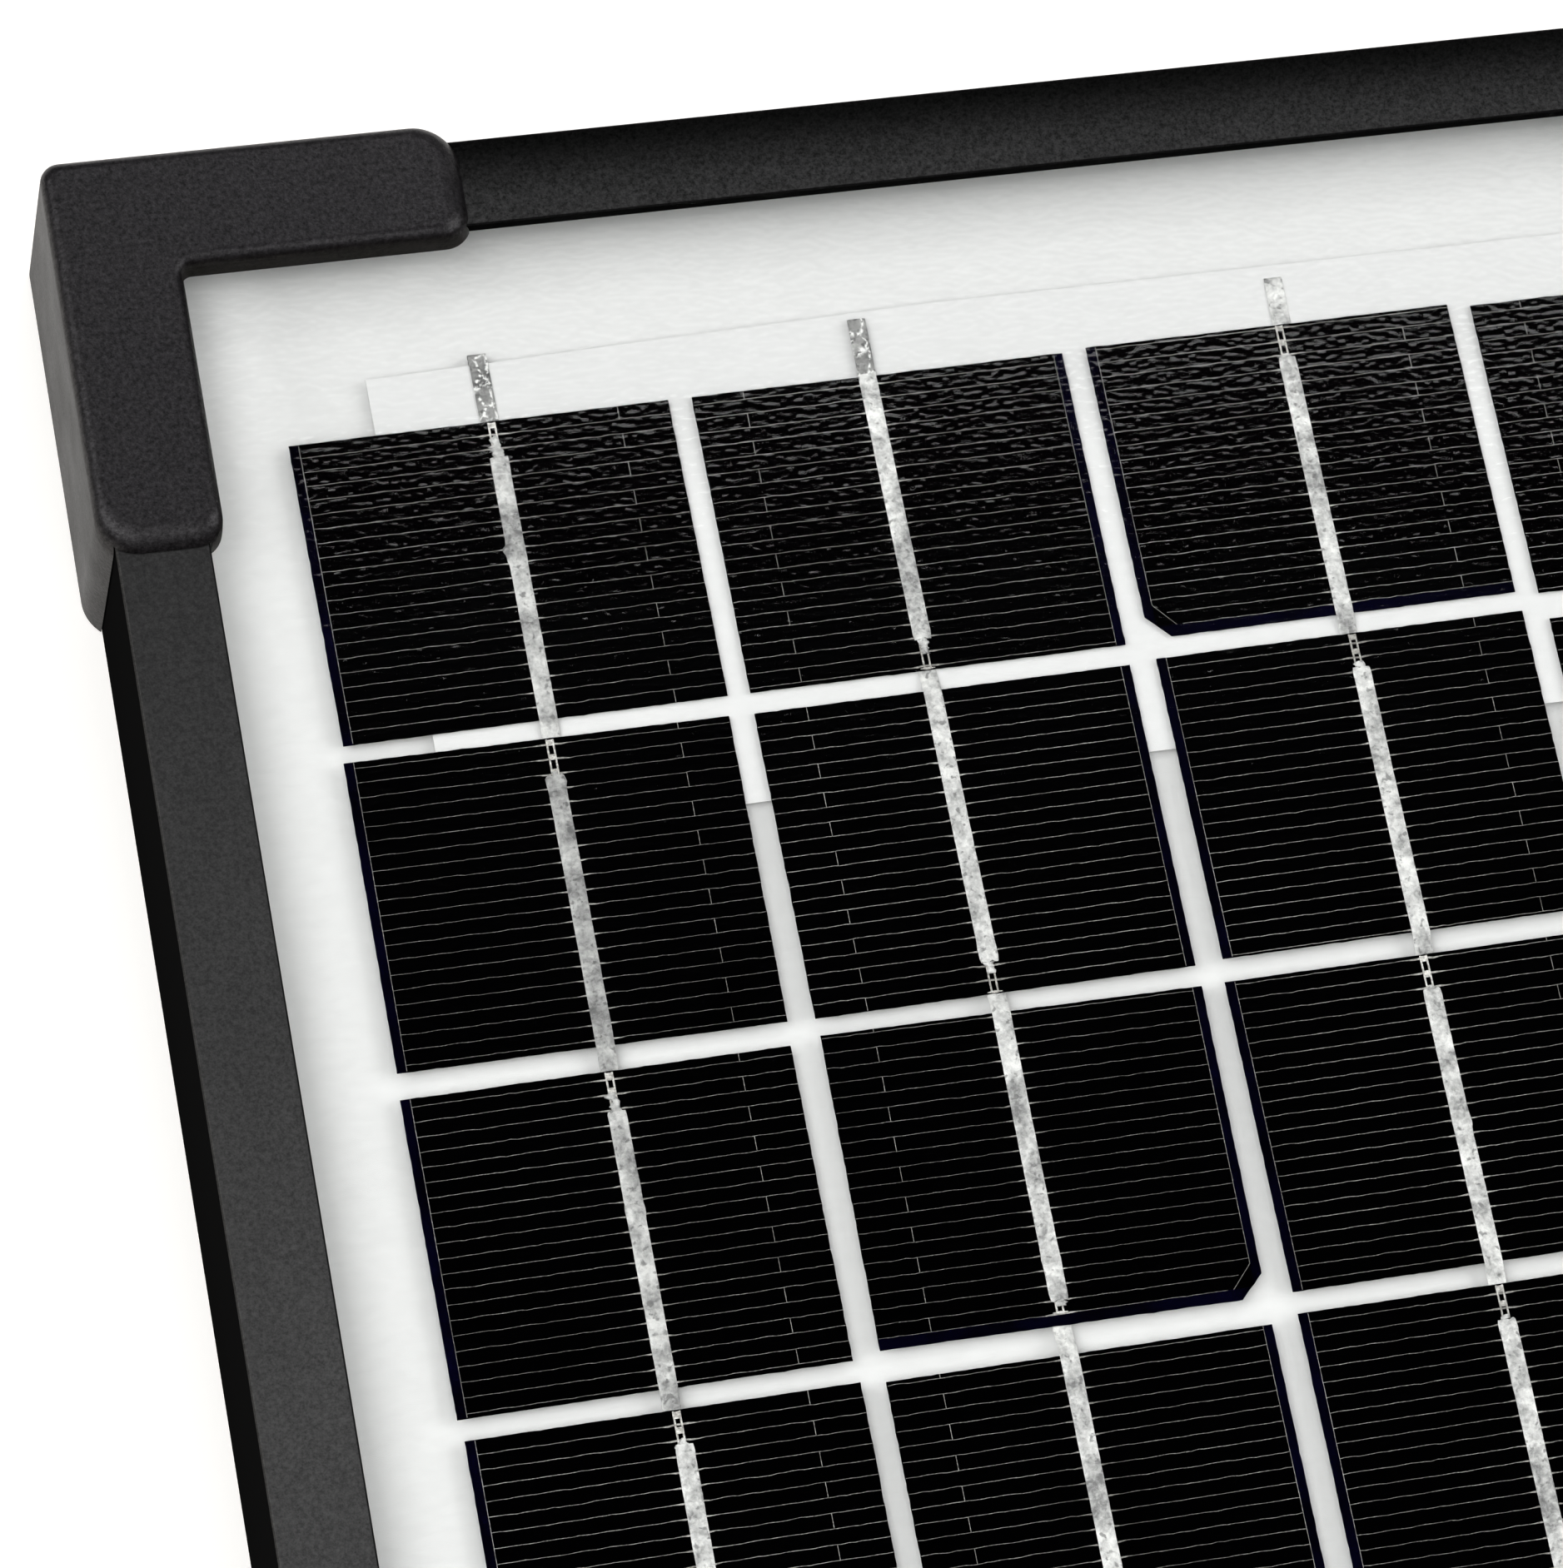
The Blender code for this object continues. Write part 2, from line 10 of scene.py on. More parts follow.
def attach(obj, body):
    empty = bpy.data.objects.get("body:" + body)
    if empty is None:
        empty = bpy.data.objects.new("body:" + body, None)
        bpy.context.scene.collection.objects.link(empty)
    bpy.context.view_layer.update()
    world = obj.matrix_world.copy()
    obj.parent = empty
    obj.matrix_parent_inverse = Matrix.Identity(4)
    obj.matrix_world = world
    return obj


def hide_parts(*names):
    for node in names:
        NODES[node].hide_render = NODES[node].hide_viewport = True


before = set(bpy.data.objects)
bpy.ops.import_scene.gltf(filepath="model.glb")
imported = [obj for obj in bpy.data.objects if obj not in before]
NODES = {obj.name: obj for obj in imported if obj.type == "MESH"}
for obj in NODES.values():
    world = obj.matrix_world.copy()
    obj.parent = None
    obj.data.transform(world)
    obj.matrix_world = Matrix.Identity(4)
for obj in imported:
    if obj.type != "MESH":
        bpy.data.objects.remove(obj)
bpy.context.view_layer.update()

MM = 0.001

# ---------------------------------------------------------------- sizes that repeat the CAD model
FRAME_W, FRAME_L, FRAME_H = 163.4, 292.5, 18.2
HW, HL = FRAME_W / 2, FRAME_L / 2
LIP_W, WALL = 7.5, 1.3
GLASS_TOP = 16.68
COLS, ROWS = 4, 9
CELL_W, CELL_H = 31.35, 25.86
PITCH_X, PITCH_Y = 33.5, 27.8
MARGIN_X, MARGIN_Y = 15.8, 22.1
WAFER_BOTTOM, WAFER_T = 12.70, 0.20
RIBBON_W, RIBBON_T, RIBBON_AT, RIBBON_START, STUB = 1.5, 0.15, 0.53, 3.6, 5.5
CHAMFER = 1.9
BOX_X, BOX_Y, BOX_W, BOX_L, BOX_TOP, BOX_RIM, BOX_WALL, BOX_R = 0.0, 96.0, 56.0, 44.0, 11.05, 2.3, 1.7, 4.0
LID_BOTTOM = 0.8
GLAND_Z, GLAND_R, GLAND_NUT_R, GLAND_BORE_R = 6.3, 3.8, 4.7, 3.0
TOP_ROW = HL - MARGIN_Y
BOTTOM_ROW = HL - MARGIN_Y - (ROWS - 1) * PITCH_Y - CELL_H


# ================================================================ node material helpers
class Mat:
    """Small builder for node materials."""

    def __init__(self, name):
        self.mat = bpy.data.materials.new(name)
        self.mat.use_nodes = True
        self.nt = self.mat.node_tree
        self.nt.nodes.clear()
        self.out = self.nt.nodes.new("ShaderNodeOutputMaterial")
        self._coord = None

    def node(self, kind, **props):
        n = self.nt.nodes.new(kind)
        for k, v in props.items():
            setattr(n, k, v)
        return n

    def link(self, a, b):
        self.nt.links.new(a, b)

    def coord(self, scale=(1, 1, 1), rotation=(0, 0, 0), location=(0, 0, 0)):
        """Object coordinates in millimetres, scaled."""
        if self._coord is None:
            self._coord = self.node("ShaderNodeTexCoord").outputs["Object"]
        m = self.node("ShaderNodeMapping")
        m.inputs["Scale"].default_value = [1000 * s for s in scale]
        m.inputs["Rotation"].default_value = rotation
        m.inputs["Location"].default_value = location
        self.link(self._coord, m.inputs["Vector"])
        return m.outputs["Vector"]

    def noise(self, vector, scale=1.0, detail=2.0, rough=0.5, distort=0.0, kind="FBM"):
        n = self.node("ShaderNodeTexNoise")
        n.inputs["Scale"].default_value = scale
        n.inputs["Detail"].default_value = detail
        n.inputs["Roughness"].default_value = rough
        n.inputs["Distortion"].default_value = distort
        self.link(vector, n.inputs["Vector"])
        return n.outputs["Fac"]

    def voronoi(self, vector, scale=1.0, feature="F1", randomness=1.0):
        n = self.node("ShaderNodeTexVoronoi", feature=feature)
        n.inputs["Scale"].default_value = scale
        n.inputs["Randomness"].default_value = randomness
        self.link(vector, n.inputs["Vector"])
        return n.outputs["Distance"]

    def ramp(self, fac, stops, interpolation="LINEAR"):
        n = self.node("ShaderNodeValToRGB")
        n.color_ramp.interpolation = interpolation
        els = n.color_ramp.elements
        while len(els) < len(stops):
            els.new(0.5)
        for e, (pos, col) in zip(els, stops):
            e.position = pos
            e.color = (*col, 1) if hasattr(col, "__len__") else (col, col, col, 1)
        self.link(fac, n.inputs["Fac"])
        return n.outputs["Color"]

    def remap(self, value, a, b, c, d, clamp=True, smooth=False):
        n = self.node("ShaderNodeMapRange", clamp=clamp)
        if smooth:
            n.interpolation_type = "SMOOTHSTEP"
        for key, v in zip(("From Min", "From Max", "To Min", "To Max"), (a, b, c, d)):
            n.inputs[key].default_value = v
        self.link(value, n.inputs["Value"])
        return n.outputs["Result"]

    def math(self, op, a, b=None, c=None):
        n = self.node("ShaderNodeMath", operation=op)
        for i, v in enumerate((a, b, c)):
            if v is None:
                continue
            if isinstance(v, (int, float)):
                n.inputs[i].default_value = v
            else:
                self.link(v, n.inputs[i])
        return n.outputs[0]

    def mix(self, fac, a, b):
        n = self.node("ShaderNodeMix", data_type="RGBA")
        for sock, v in ((n.inputs[0], fac), (n.inputs[6], a), (n.inputs[7], b)):
            if isinstance(v, (int, float)):
                sock.default_value = v
            elif isinstance(v, (tuple, list)):
                sock.default_value = (*v, 1)
            else:
                self.link(v, sock)
        return n.outputs[2]

    def bump(self, height, strength, distance_mm, normal=None):
        n = self.node("ShaderNodeBump")
        n.inputs["Strength"].default_value = strength
        n.inputs["Distance"].default_value = distance_mm * MM
        self.link(height, n.inputs["Height"])
        if normal is not None:
            self.link(normal, n.inputs["Normal"])
        return n.outputs["Normal"]

    def split(self, vector):
        n = self.node("ShaderNodeSeparateXYZ")
        self.link(vector, n.inputs[0])
        return n.outputs

    def principled(self, color=None, roughness=0.5, metallic=0.0, specular=0.5, normal=None, **more):
        p = self.node("ShaderNodeBsdfPrincipled")
        for key, v in (("Base Color", color), ("Roughness", roughness), ("Metallic", metallic), ("Specular IOR Level", specular), *more.items()):
            if v is None:
                continue
            sock = p.inputs[key]
            if isinstance(v, (int, float)):
                sock.default_value = v
            elif isinstance(v, (tuple, list)):
                sock.default_value = (*v, 1) if len(v) == 3 and sock.type == "RGBA" else v
            else:
                self.link(v, sock)
        if normal is not None:
            self.link(normal, p.inputs["Normal"])
        return p

    def done(self, shader):
        self.link(shader.outputs[0], self.out.inputs["Surface"])
        return self.mat


# ---------------------------------------------------------------- materials
def anodised(name, across, sign):
    """Bead-blasted black anodising. On the top and bottom rails the lip is painted lighter towards the glass, as
    painted shading of its rounded profile; the sides are painted near black as shade.
    """
    m = Mat(name)
    v = m.coord()
    grain = m.noise(v, 3.0, 3.0, 0.78)
    fine = m.noise(v, 9.0, 2.0, 0.6)
    broad = m.noise(m.coord((0.07, 0.07, 0.07)), 1.0, 2.0, 0.5)
    drawn = m.noise(m.coord((0.05, 1.6, 1.6) if across else (1.6, 0.05, 1.6)), 1.0, 3.0, 0.6)
    xyz = m.split(m.coord())
    edge = HW if across == 0 else HL
    u = m.math("SUBTRACT", edge, m.math("MULTIPLY", xyz[across], float(sign)))  # distance in from the outside
    lip = m.remap(u, 0.2, LIP_W - 0.6, 0.0, 1.0, smooth=True)
    geo = m.node("ShaderNodeNewGeometry")
    nz = m.split(geo.outputs["Normal"])[2]
    up = m.remap(nz, 0.5, 0.9, 0.0, 1.0)
    if across == 1:
        # painted shade: the lip of the top and bottom rails is coloured near black at its outer edge and lighter
        # towards the glass, standing in for the shading of its rounded profile
        top = m.mix(lip, (0.0003, 0.0003, 0.0003), (0.0080, 0.0080, 0.0082))
    else:
        # painted sheen: the long rails are coloured greyer towards their middle than by the caps, standing in for the
        # studio light they reflect
        # painted sheen mask: 1 in the middle of the long rails, 0 by the caps
        painted_sheen_mid = m.remap(m.math("ABSOLUTE", xyz[1]), 45.0, 118.0, 1.0, 0.0)
        top = m.mix(painted_sheen_mid, (0.0110, 0.0110, 0.0111), (0.0335, 0.0335, 0.0336))
    # painted highlight: a thin bright line along the outer arris, strongest on the long rails
    arris = m.math("MULTIPLY", m.remap(u, 0.10, 0.22, 1.0, 0.0), m.remap(fine, 0.35, 0.6, 0.35, 1.0))
    top = m.mix(arris, top, (0.055, 0.053, 0.050) if across == 0 else (0.006, 0.006, 0.006))
    # painted shadow: a thin near-black line along the lip's inner edge
    top = m.mix(m.remap(u, LIP_W - 0.20, LIP_W - 0.10, 0.0, 1.0), top, (0.0008, 0.0008, 0.0008))
    wide = 1.8 if across else 1.38
    speck = m.remap(grain, 0.32, 0.68, 2.0 - wide, wide)
    vary = m.math("MULTIPLY", m.remap(broad, 0.3, 0.7, 0.92, 1.08), m.remap(drawn, 0.3, 0.7, 0.94, 1.06))
    scaled = m.node("ShaderNodeVectorMath", operation="SCALE")
    m.link(top, scaled.inputs[0])
    m.link(m.math("MULTIPLY", speck, vary), scaled.inputs["Scale"])
    nrm = m.bump(m.math("ADD", grain, m.math("MULTIPLY", fine, 0.6)), 0.35, 0.03)
    spec = m.math("MULTIPLY", m.remap(lip, 0.0, 1.0, 0.04 if across else 0.22, 0.23), m.remap(grain, 0.34, 0.66, 0.5 if across else 0.75, 1.5 if across else 1.25))
    face = m.principled(scaled.outputs[0], m.remap(fine, 0.3, 0.7, 0.34, 0.46), 0.0, spec, nrm)
    # painted shade: faces that do not look up get a near-black diffuse with only a trace of gloss in place of the
    # anodised finish
    side = m.node("ShaderNodeBsdfDiffuse")
    m.link(m.ramp(grain, [(0.3, 0.0008), (0.7, 0.0018)]), side.inputs["Color"])
    sheen = m.node("ShaderNodeBsdfGlossy")
    sheen.inputs["Roughness"].default_value = 0.5
    m.link(nrm, sheen.inputs["Normal"])
    painted_dark_side = m.node("ShaderNodeMixShader")
    painted_dark_side.inputs[0].default_value = 0.004
    m.link(side.outputs[0], painted_dark_side.inputs[1])
    m.link(sheen.outputs[0], painted_dark_side.inputs[2])
    both = m.node("ShaderNodeMixShader")
    m.link(up, both.inputs[0])
    m.link(painted_dark_side.outputs[0], both.inputs[1])
    m.link(face.outputs[0], both.inputs[2])
    # foot flange and the inside faces that look down keep the plain blasted finish
    foot = m.principled(m.ramp(grain, [(0.3, 0.010), (0.7, 0.026)]), m.remap(fine, 0.3, 0.7, 0.40, 0.55), 0.0, 0.35, nrm)
    full = m.node("ShaderNodeMixShader")
    m.link(m.remap(nz, -0.5, -0.9, 0.0, 1.0), full.inputs[0])
    m.link(both.outputs[0], full.inputs[1])
    m.link(foot.outputs[0], full.inputs[2])
    return m.done(full)


def cap_plastic():
    m = Mat("cap_plastic_grained")
    v = m.coord()
    pebble = m.noise(v, 2.6, 3.0, 0.8)
    fine = m.noise(v, 6.0, 2.0, 0.6)
    broad = m.noise(m.coord((0.16, 0.16, 0.16)), 1.0, 3.0, 0.6)
    flow = m.noise(m.coord((0.5, 0.09, 0.5), rotation=(0, 0, 0.1)), 1.0, 2.0, 0.5)
    base = m.mix(m.remap(broad, 0.35, 0.65, 0.0, 1.0), (0.0031, 0.0026, 0.0036), (0.0043, 0.0037, 0.0045))
    base = m.mix(m.remap(flow, 0.55, 0.75, 0.0, 0.35), base, (0.0078, 0.0068, 0.0076))
    scaled = m.node("ShaderNodeVectorMath", operation="SCALE")
    m.link(base, scaled.inputs[0])
    m.link(m.math("MULTIPLY", m.remap(pebble, 0.32, 0.68, 0.25, 1.75), m.remap(fine, 0.3, 0.7, 0.75, 1.25)), scaled.inputs["Scale"])
    rough = m.remap(m.math("ADD", broad, m.math("MULTIPLY", fine, 0.5)), 0.5, 1.0, 0.32, 0.44)
    h = m.math("ADD", pebble, m.math("MULTIPLY", fine, 0.45))
    nrm = m.bump(h, 0.6, 0.05)
    # painted reflection and shade: the sides are a duller, paler copy of the plastic, with a warm specular tint
    # standing in for the warm light they mirror
    nz = m.split(m.node("ShaderNodeNewGeometry").outputs["Normal"])[2]
    up = m.remap(nz, 0.1, 0.8, 0.0, 1.0)
    grit = m.math("MULTIPLY", m.remap(pebble, 0.34, 0.66, 0.56, 1.38), m.remap(fine, 0.3, 0.7, 0.85, 1.15))
    spec = m.math("MULTIPLY", grit, m.remap(up, 0.0, 1.0, 0.28, 0.32))
    tint = m.mix(up, (1.0, 0.93, 0.84), (1.0, 0.98, 1.0))
    skin = m.principled(scaled.outputs[0], rough, 0.0, spec, nrm, **{"Specular Tint": tint})
    matt = m.node("ShaderNodeBsdfDiffuse")
    m.link(m.ramp(pebble, [(0.35, (0.004, 0.0035, 0.003)), (0.65, (0.012, 0.010, 0.008))]), matt.inputs["Color"])
    both = m.node("ShaderNodeMixShader")
    xyz = m.split(v)
    # painted shade: the inner walls take more of the matt diffuse than the outer sides, which darkens them
    inner = m.math(
        "MINIMUM",
        m.remap(m.math("ABSOLUTE", xyz[0]), HW - 8.4, HW - 7.6, 1.0, 0.0),
        m.remap(m.math("ABSOLUTE", xyz[1]), HL - 8.4, HL - 7.6, 1.0, 0.0),
    )
    m.link(m.math("MULTIPLY", m.remap(up, 0.0, 1.0, 1.0, 0.0), m.remap(inner, 0.0, 1.0, 0.36, 0.80)), both.inputs[0])
    m.link(skin.outputs[0], both.inputs[1])
    m.link(matt.outputs[0], both.inputs[2])
    return m.done(both)


def glass_material():
    """Rolled solar glass: clear, with a fine stipple in its front face that only the gloss shows."""
    m = Mat("stippled_glass")
    v = m.coord((1.4, 2.3, 1.0), rotation=(0, 0, -0.03))
    a = m.noise(v, 1.0, 0.0, 0.5)
    nrm = m.bump(a, 1.0, 0.0180)
    fres = m.node("ShaderNodeFresnel")
    back = m.node("ShaderNodeNewGeometry").outputs["Backfacing"]
    # light is not bent in this pane, so both of its sides use the outer angle
    m.link(m.remap(back, 0.0, 1.0, 1.45, 1 / 1.45), fres.inputs["IOR"])
    clear = m.node("ShaderNodeBsdfTransparent")
    clear.inputs["Color"].default_value = (0.985, 0.990, 0.988, 1)
    gloss = m.node("ShaderNodeBsdfGlossy")
    gloss.inputs["Roughness"].default_value = 0.085
    gloss.inputs["Color"].default_value = (1, 1, 1, 1)
    m.link(nrm, gloss.inputs["Normal"])
    # a look adjustment: no flecks show over the white margin, so the gloss is held back there
    xyz = m.split(m.coord())
    beyond = m.math(
        "MAXIMUM",
        m.remap(xyz[1], TOP_ROW - 1.9, TOP_ROW - 0.8, 0.0, 1.0, smooth=True),
        m.remap(m.math("ABSOLUTE", xyz[0]), HW - MARGIN_X - 0.4, HW - MARGIN_X + 1.0, 0.0, 1.0, smooth=True),
    )
    mixer = m.node("ShaderNodeMixShader")
    m.link(m.math("MULTIPLY", fres.outputs[0], m.remap(beyond, 0.0, 1.0, 1.0, 0.3)), mixer.inputs[0])
    m.link(clear.outputs[0], mixer.inputs[1])
    m.link(gloss.outputs[0], mixer.inputs[2])
    return m.done(mixer)


def clear_film(name, tint):
    m = Mat(name)
    clear = m.node("ShaderNodeBsdfTransparent")
    clear.inputs["Color"].default_value = (*tint, 1)
    return m.done(clear)


def edge_glass():
    """The cut and ground rim of the pane, greenish where one looks along the sheet."""
    m = Mat("glass_ground_edge")
    g = m.noise(m.coord(), 2.0, 2.0, 0.6)
    col = m.ramp(g, [(0.3, (0.20, 0.27, 0.24)), (0.7, (0.32, 0.40, 0.37))])
    return m.done(m.principled(col, 0.4, 0.0, 0.5, m.bump(g, 0.4, 0.03)))


def white_sheet(name, tone=0.80, head=1.0, corner=1.0):
    """White polyester sheet, seen through the stippled glass as very faint ripples.
    head scales the tone of the strip above the cells, corner that of its left end: both only
    even out the white, because the studio light falls brighter there than it should look."""
    m = Mat(name)
    ripple = m.noise(m.coord((0.55, 1.25, 1.0), rotation=(0, 0, -0.04)), 1.1, 3.0, 0.55, 0.5)
    weave = m.noise(m.coord((0.25, 0.25, 0.25)), 1.0, 4.0, 0.6)
    t = m.remap(ripple, 0.30, 0.72, tone * 0.972, tone * 1.02)
    t = m.math("MULTIPLY", t, m.remap(weave, 0.3, 0.7, 0.988, 1.008))
    speck = m.voronoi(m.coord((1, 1, 1)), 0.085)
    dot = m.remap(speck, 0.006, 0.014, 0.72, 1.0)
    t = m.math("MULTIPLY", t, dot)
    xyz = m.split(m.coord())
    top = m.math("MULTIPLY", m.remap(xyz[1], 114.0, 124.0, 0.0, 1.0, smooth=True), m.remap(xyz[0], -69.5, -63.5, 0.0, 1.0, smooth=True))
    less = m.remap(xyz[0], -46.0, -26.0, 1.0 - corner, 1.0 - head, smooth=True)
    t = m.math("MULTIPLY", t, m.remap(m.math("MULTIPLY", top, less), 0.0, 1.0, 1.0, 0.0))
    comb = m.node("ShaderNodeCombineColor")
    for i in range(3):
        m.link(t, comb.inputs[i])
    nrm = m.bump(ripple, 0.5, 0.05)
    return m.done(m.principled(comb.outputs[0], 0.62, 0.0, 0.06, nrm))


def silicon(name, base, tint):
    m = Mat(name)
    etch = m.noise(m.coord(), 6.0, 1.0, 0.6)
    blotch = m.noise(m.coord((0.22, 0.22, 0.22)), 1.0, 2.0, 0.55)
    col = m.mix(m.remap(blotch, 0.35, 0.7, 0.0, 1.0), base, tint)
    return m.done(m.principled(col, 0.5, 0.0, 0.0, m.bump(etch, 0.3, 0.01)))


def silver_paste(name, gain):
    m = Mat(name)
    grain = m.noise(m.coord(), 4.0, 2.0, 0.7)
    patch = m.noise(m.coord((0.12, 0.12, 0.12)), 1.0, 2.0, 0.5)
    k = m.math("ADD", m.math("MULTIPLY", grain, 0.6), m.math("MULTIPLY", patch, 0.4))
    g = gain
    col = m.ramp(k, [(0.32, (0.16 * g, 0.155 * g, 0.142 * g)), (0.48, (0.34 * g, 0.33 * g, 0.31 * g)), (0.64, (0.72 * g, 0.71 * g, 0.68 * g))])
    return m.done(m.principled(col, 0.5, 0.0, 0.2))


def tin(name, dull=0.0, shade=1.0):
    """Solder-coated copper: pale, softly clouded, with grey patches and small hard glints.
    dull turns it into flux-stained solder: mid grey with bright veins where it set last."""
    m = Mat(name)
    v = m.coord() if dull else m.coord(location=(3.7, 1.9, 0.0))
    a = m.noise(v, 0.42, 3.0, 0.55, 0.3)
    b = m.noise(v, 2.2, 3.0, 0.68, 0.4)
    pits = m.noise(m.coord((1.0, 1.0, 1.0), location=(9, 3, 0)), 1.6, 2.0, 0.5, 0.2)
    k = m.math("ADD", m.math("MULTIPLY", a, 0.60), m.math("MULTIPLY", b, 0.40))
    d = shade * (1.0 - dull)
    col = m.ramp(
        k,
        [
            (0.36, (0.20 * d, 0.20 * d, 0.20 * d)),
            (0.45, (0.42 * d, 0.42 * d, 0.415 * d)),
            (0.53, (0.62 * d, 0.62 * d, 0.61 * d)),
            (0.64, (0.88 * d, 0.88 * d, 0.86 * d)),
        ],
    )
    col = m.mix(m.remap(pits, 0.60, 0.68, 0.0, 0.7), col, (0.12 * d, 0.12 * d, 0.12 * d))
    if dull:
        vein = m.voronoi(m.coord((0.8, 0.5, 0.8), location=(2, 5, 0)), 1.0, "DISTANCE_TO_EDGE")
        broken = m.math("MULTIPLY", m.remap(vein, 0.03, 0.10, 1.0, 0.0), m.remap(b, 0.46, 0.56, 0.0, 1.0))
        col = m.mix(broken, col, (0.85, 0.85, 0.84))
    rough = m.remap(b, 0.3, 0.7, 0.55 if dull else 0.30, 0.8 if dull else 0.6)
    nrm = m.bump(m.math("ADD", m.math("MULTIPLY", a, 0.6), m.math("MULTIPLY", b, 0.4)), 1.0, 0.10)
    return m.done(m.principled(col, rough, 0.15, 0.4 if dull else 0.6, nrm))


def aluminium():
    m = Mat("key_aluminium")
    lines = m.noise(m.coord((0.2, 0.2, 6.0)), 2.0, 2.0, 0.5)
    col = m.ramp(lines, [(0.3, (0.42, 0.43, 0.44)), (0.7, (0.62, 0.63, 0.64))])
    return m.done(m.principled(col, m.remap(lines, 0.3, 0.7, 0.3, 0.45), 1.0, 0.5, m.bump(lines, 0.3, 0.02)))


def box_plastic():
    m = Mat("box_plastic")
    v = m.coord()
    g = m.noise(v, 5.0, 3.0, 0.7)
    broad = m.noise(m.coord((0.1, 0.1, 0.1)), 1.0, 2.0, 0.5)
    col = m.mix(m.remap(broad, 0.3, 0.7, 0.0, 1.0), (0.012, 0.012, 0.0125), (0.018, 0.018, 0.0185))
    return m.done(m.principled(col, m.remap(g, 0.3, 0.7, 0.42, 0.6), 0.0, 0.5, m.bump(g, 0.5, 0.04)))


def sealant():
    m = Mat("white_sealant")
    g = m.noise(m.coord(), 0.6, 3.0, 0.5)
    col = m.ramp(g, [(0.3, (0.62, 0.62, 0.60)), (0.7, (0.74, 0.74, 0.72))])
    return m.done(m.principled(col, 0.38, 0.0, 0.5, m.bump(g, 0.5, 0.1)))


M_CAP = cap_plastic()
M_GLASS = glass_material()
M_UNDER = clear_film("glass_underside", (0.999, 1.0, 0.999))
M_RIM = edge_glass()
M_FILM = clear_film("encapsulant_clear", (0.998, 0.998, 0.996))
M_BACK = white_sheet("back_sheet_white", 0.855, 0.835, 0.83)
M_SHEET = white_sheet("insulating_sheet_white", 0.80, 0.878, 0.868)
M_SI = silicon("silicon_black", (0.00012, 0.00012, 0.00022), (0.0003, 0.0003, 0.0004))
M_EDGE = silicon("silicon_border", (0.0004, 0.0003, 0.0020), (0.0010, 0.0008, 0.0070))
M_PASTE = silver_paste("silver_fingers", 0.76)
M_BUSBAR = silver_paste("silver_busbar", 1.25)
M_TIN = tin("tinned_ribbon", shade=1.05)
M_TIN_DULL = tin("tinned_ribbon_stained", 0.56)
# the next two are darker copies of the ribbon finish, used on three ribbons of the first column
M_TIN_DARKER = tin("tinned_ribbon_darker", shade=0.84)
M_TIN_GREY = tin("tinned_ribbon_grey", shade=0.70)
M_KEY = aluminium()
M_BOX = box_plastic()
M_SEAL = sealant()


def dress(obj, *mats):
    obj.data.materials.clear()
    for mat in mats:
        obj.data.materials.append(mat)


# ================================================================ mesh helpers
def new_object(name, mesh, mats, smooth=None):
    obj = bpy.data.objects.new(name, mesh)
    bpy.context.scene.collection.objects.link(obj)
    for mat in mats:
        mesh.materials.append(mat)
    if smooth is not None:
        mesh.shade_smooth()
        mesh.set_sharp_from_angle(angle=math.radians(smooth))
    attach(obj, "root")
    return obj


def mesh_of(verts, faces, name="m", indices=None):
    mesh = bpy.data.meshes.new(name)
    mesh.from_pydata([(x * MM, y * MM, z * MM) for x, y, z in verts], [], faces)
    if indices is not None:
        mesh.polygons.foreach_set("material_index", indices)
    mesh.update()
    return mesh


class Build:
    """Collects closed pieces in millimetres into one mesh."""

    def __init__(self):
        self.v, self.f, self.m = [], [], []

    def ring_body(self, rings, mat=0, closed_ends=True):
        base = len(self.v)
        n = len(rings[0])
        for r in rings:
            self.v.extend(r)
        for i in range(len(rings) - 1):
            a, b = base + i * n, base + (i + 1) * n
            for k in range(n):
                j = (k + 1) % n
                self.f.append((a + k, a + j, b + j, b + k))
                self.m.append(mat)
        if closed_ends:
            self.f.append(tuple(base + k for k in reversed(range(n))))
            self.m.append(mat)
            last = base + (len(rings) - 1) * n
            self.f.append(tuple(last + k for k in range(n)))
            self.m.append(mat)

    def mesh(self, name):
        return mesh_of(self.v, self.f, name, self.m)


def rounded(corners, steps=10):
    out = []
    n = len(corners)
    for i, (x, y, r) in enumerate(corners):
        here = Vector((x, y))
        back = (Vector(corners[i - 1][:2]) - here).normalized()
        ahead = (Vector(corners[(i + 1) % n][:2]) - here).normalized()
        if r <= 0:
            out.append((x, y))
            continue
        centre = here + (back + ahead) * r
        start = here + back * r - centre
        end = here + ahead * r - centre
        a0 = math.atan2(start.y, start.x)
        turn = math.atan2(start.x * end.y - start.y * end.x, start.dot(end))
        for k in range(steps + 1):
            a = a0 + turn * k / steps
            out.append((centre.x + r * math.cos(a), centre.y + r * math.sin(a)))
    return out


def prism_mesh(points, z0, z1, name="cutter"):
    n = len(points)
    verts = [(x, y, z0) for x, y in points] + [(x, y, z1) for x, y in points]
    area = sum(points[i - 1][0] * points[i][1] - points[i][0] * points[i - 1][1] for i in range(n))
    faces = [tuple(reversed(range(n))), tuple(range(n, 2 * n))]
    faces += [(i, (i + 1) % n, n + (i + 1) % n, n + i) for i in range(n)]
    if area < 0:
        faces = [tuple(reversed(f)) for f in faces]
    return mesh_of(verts, faces, name)


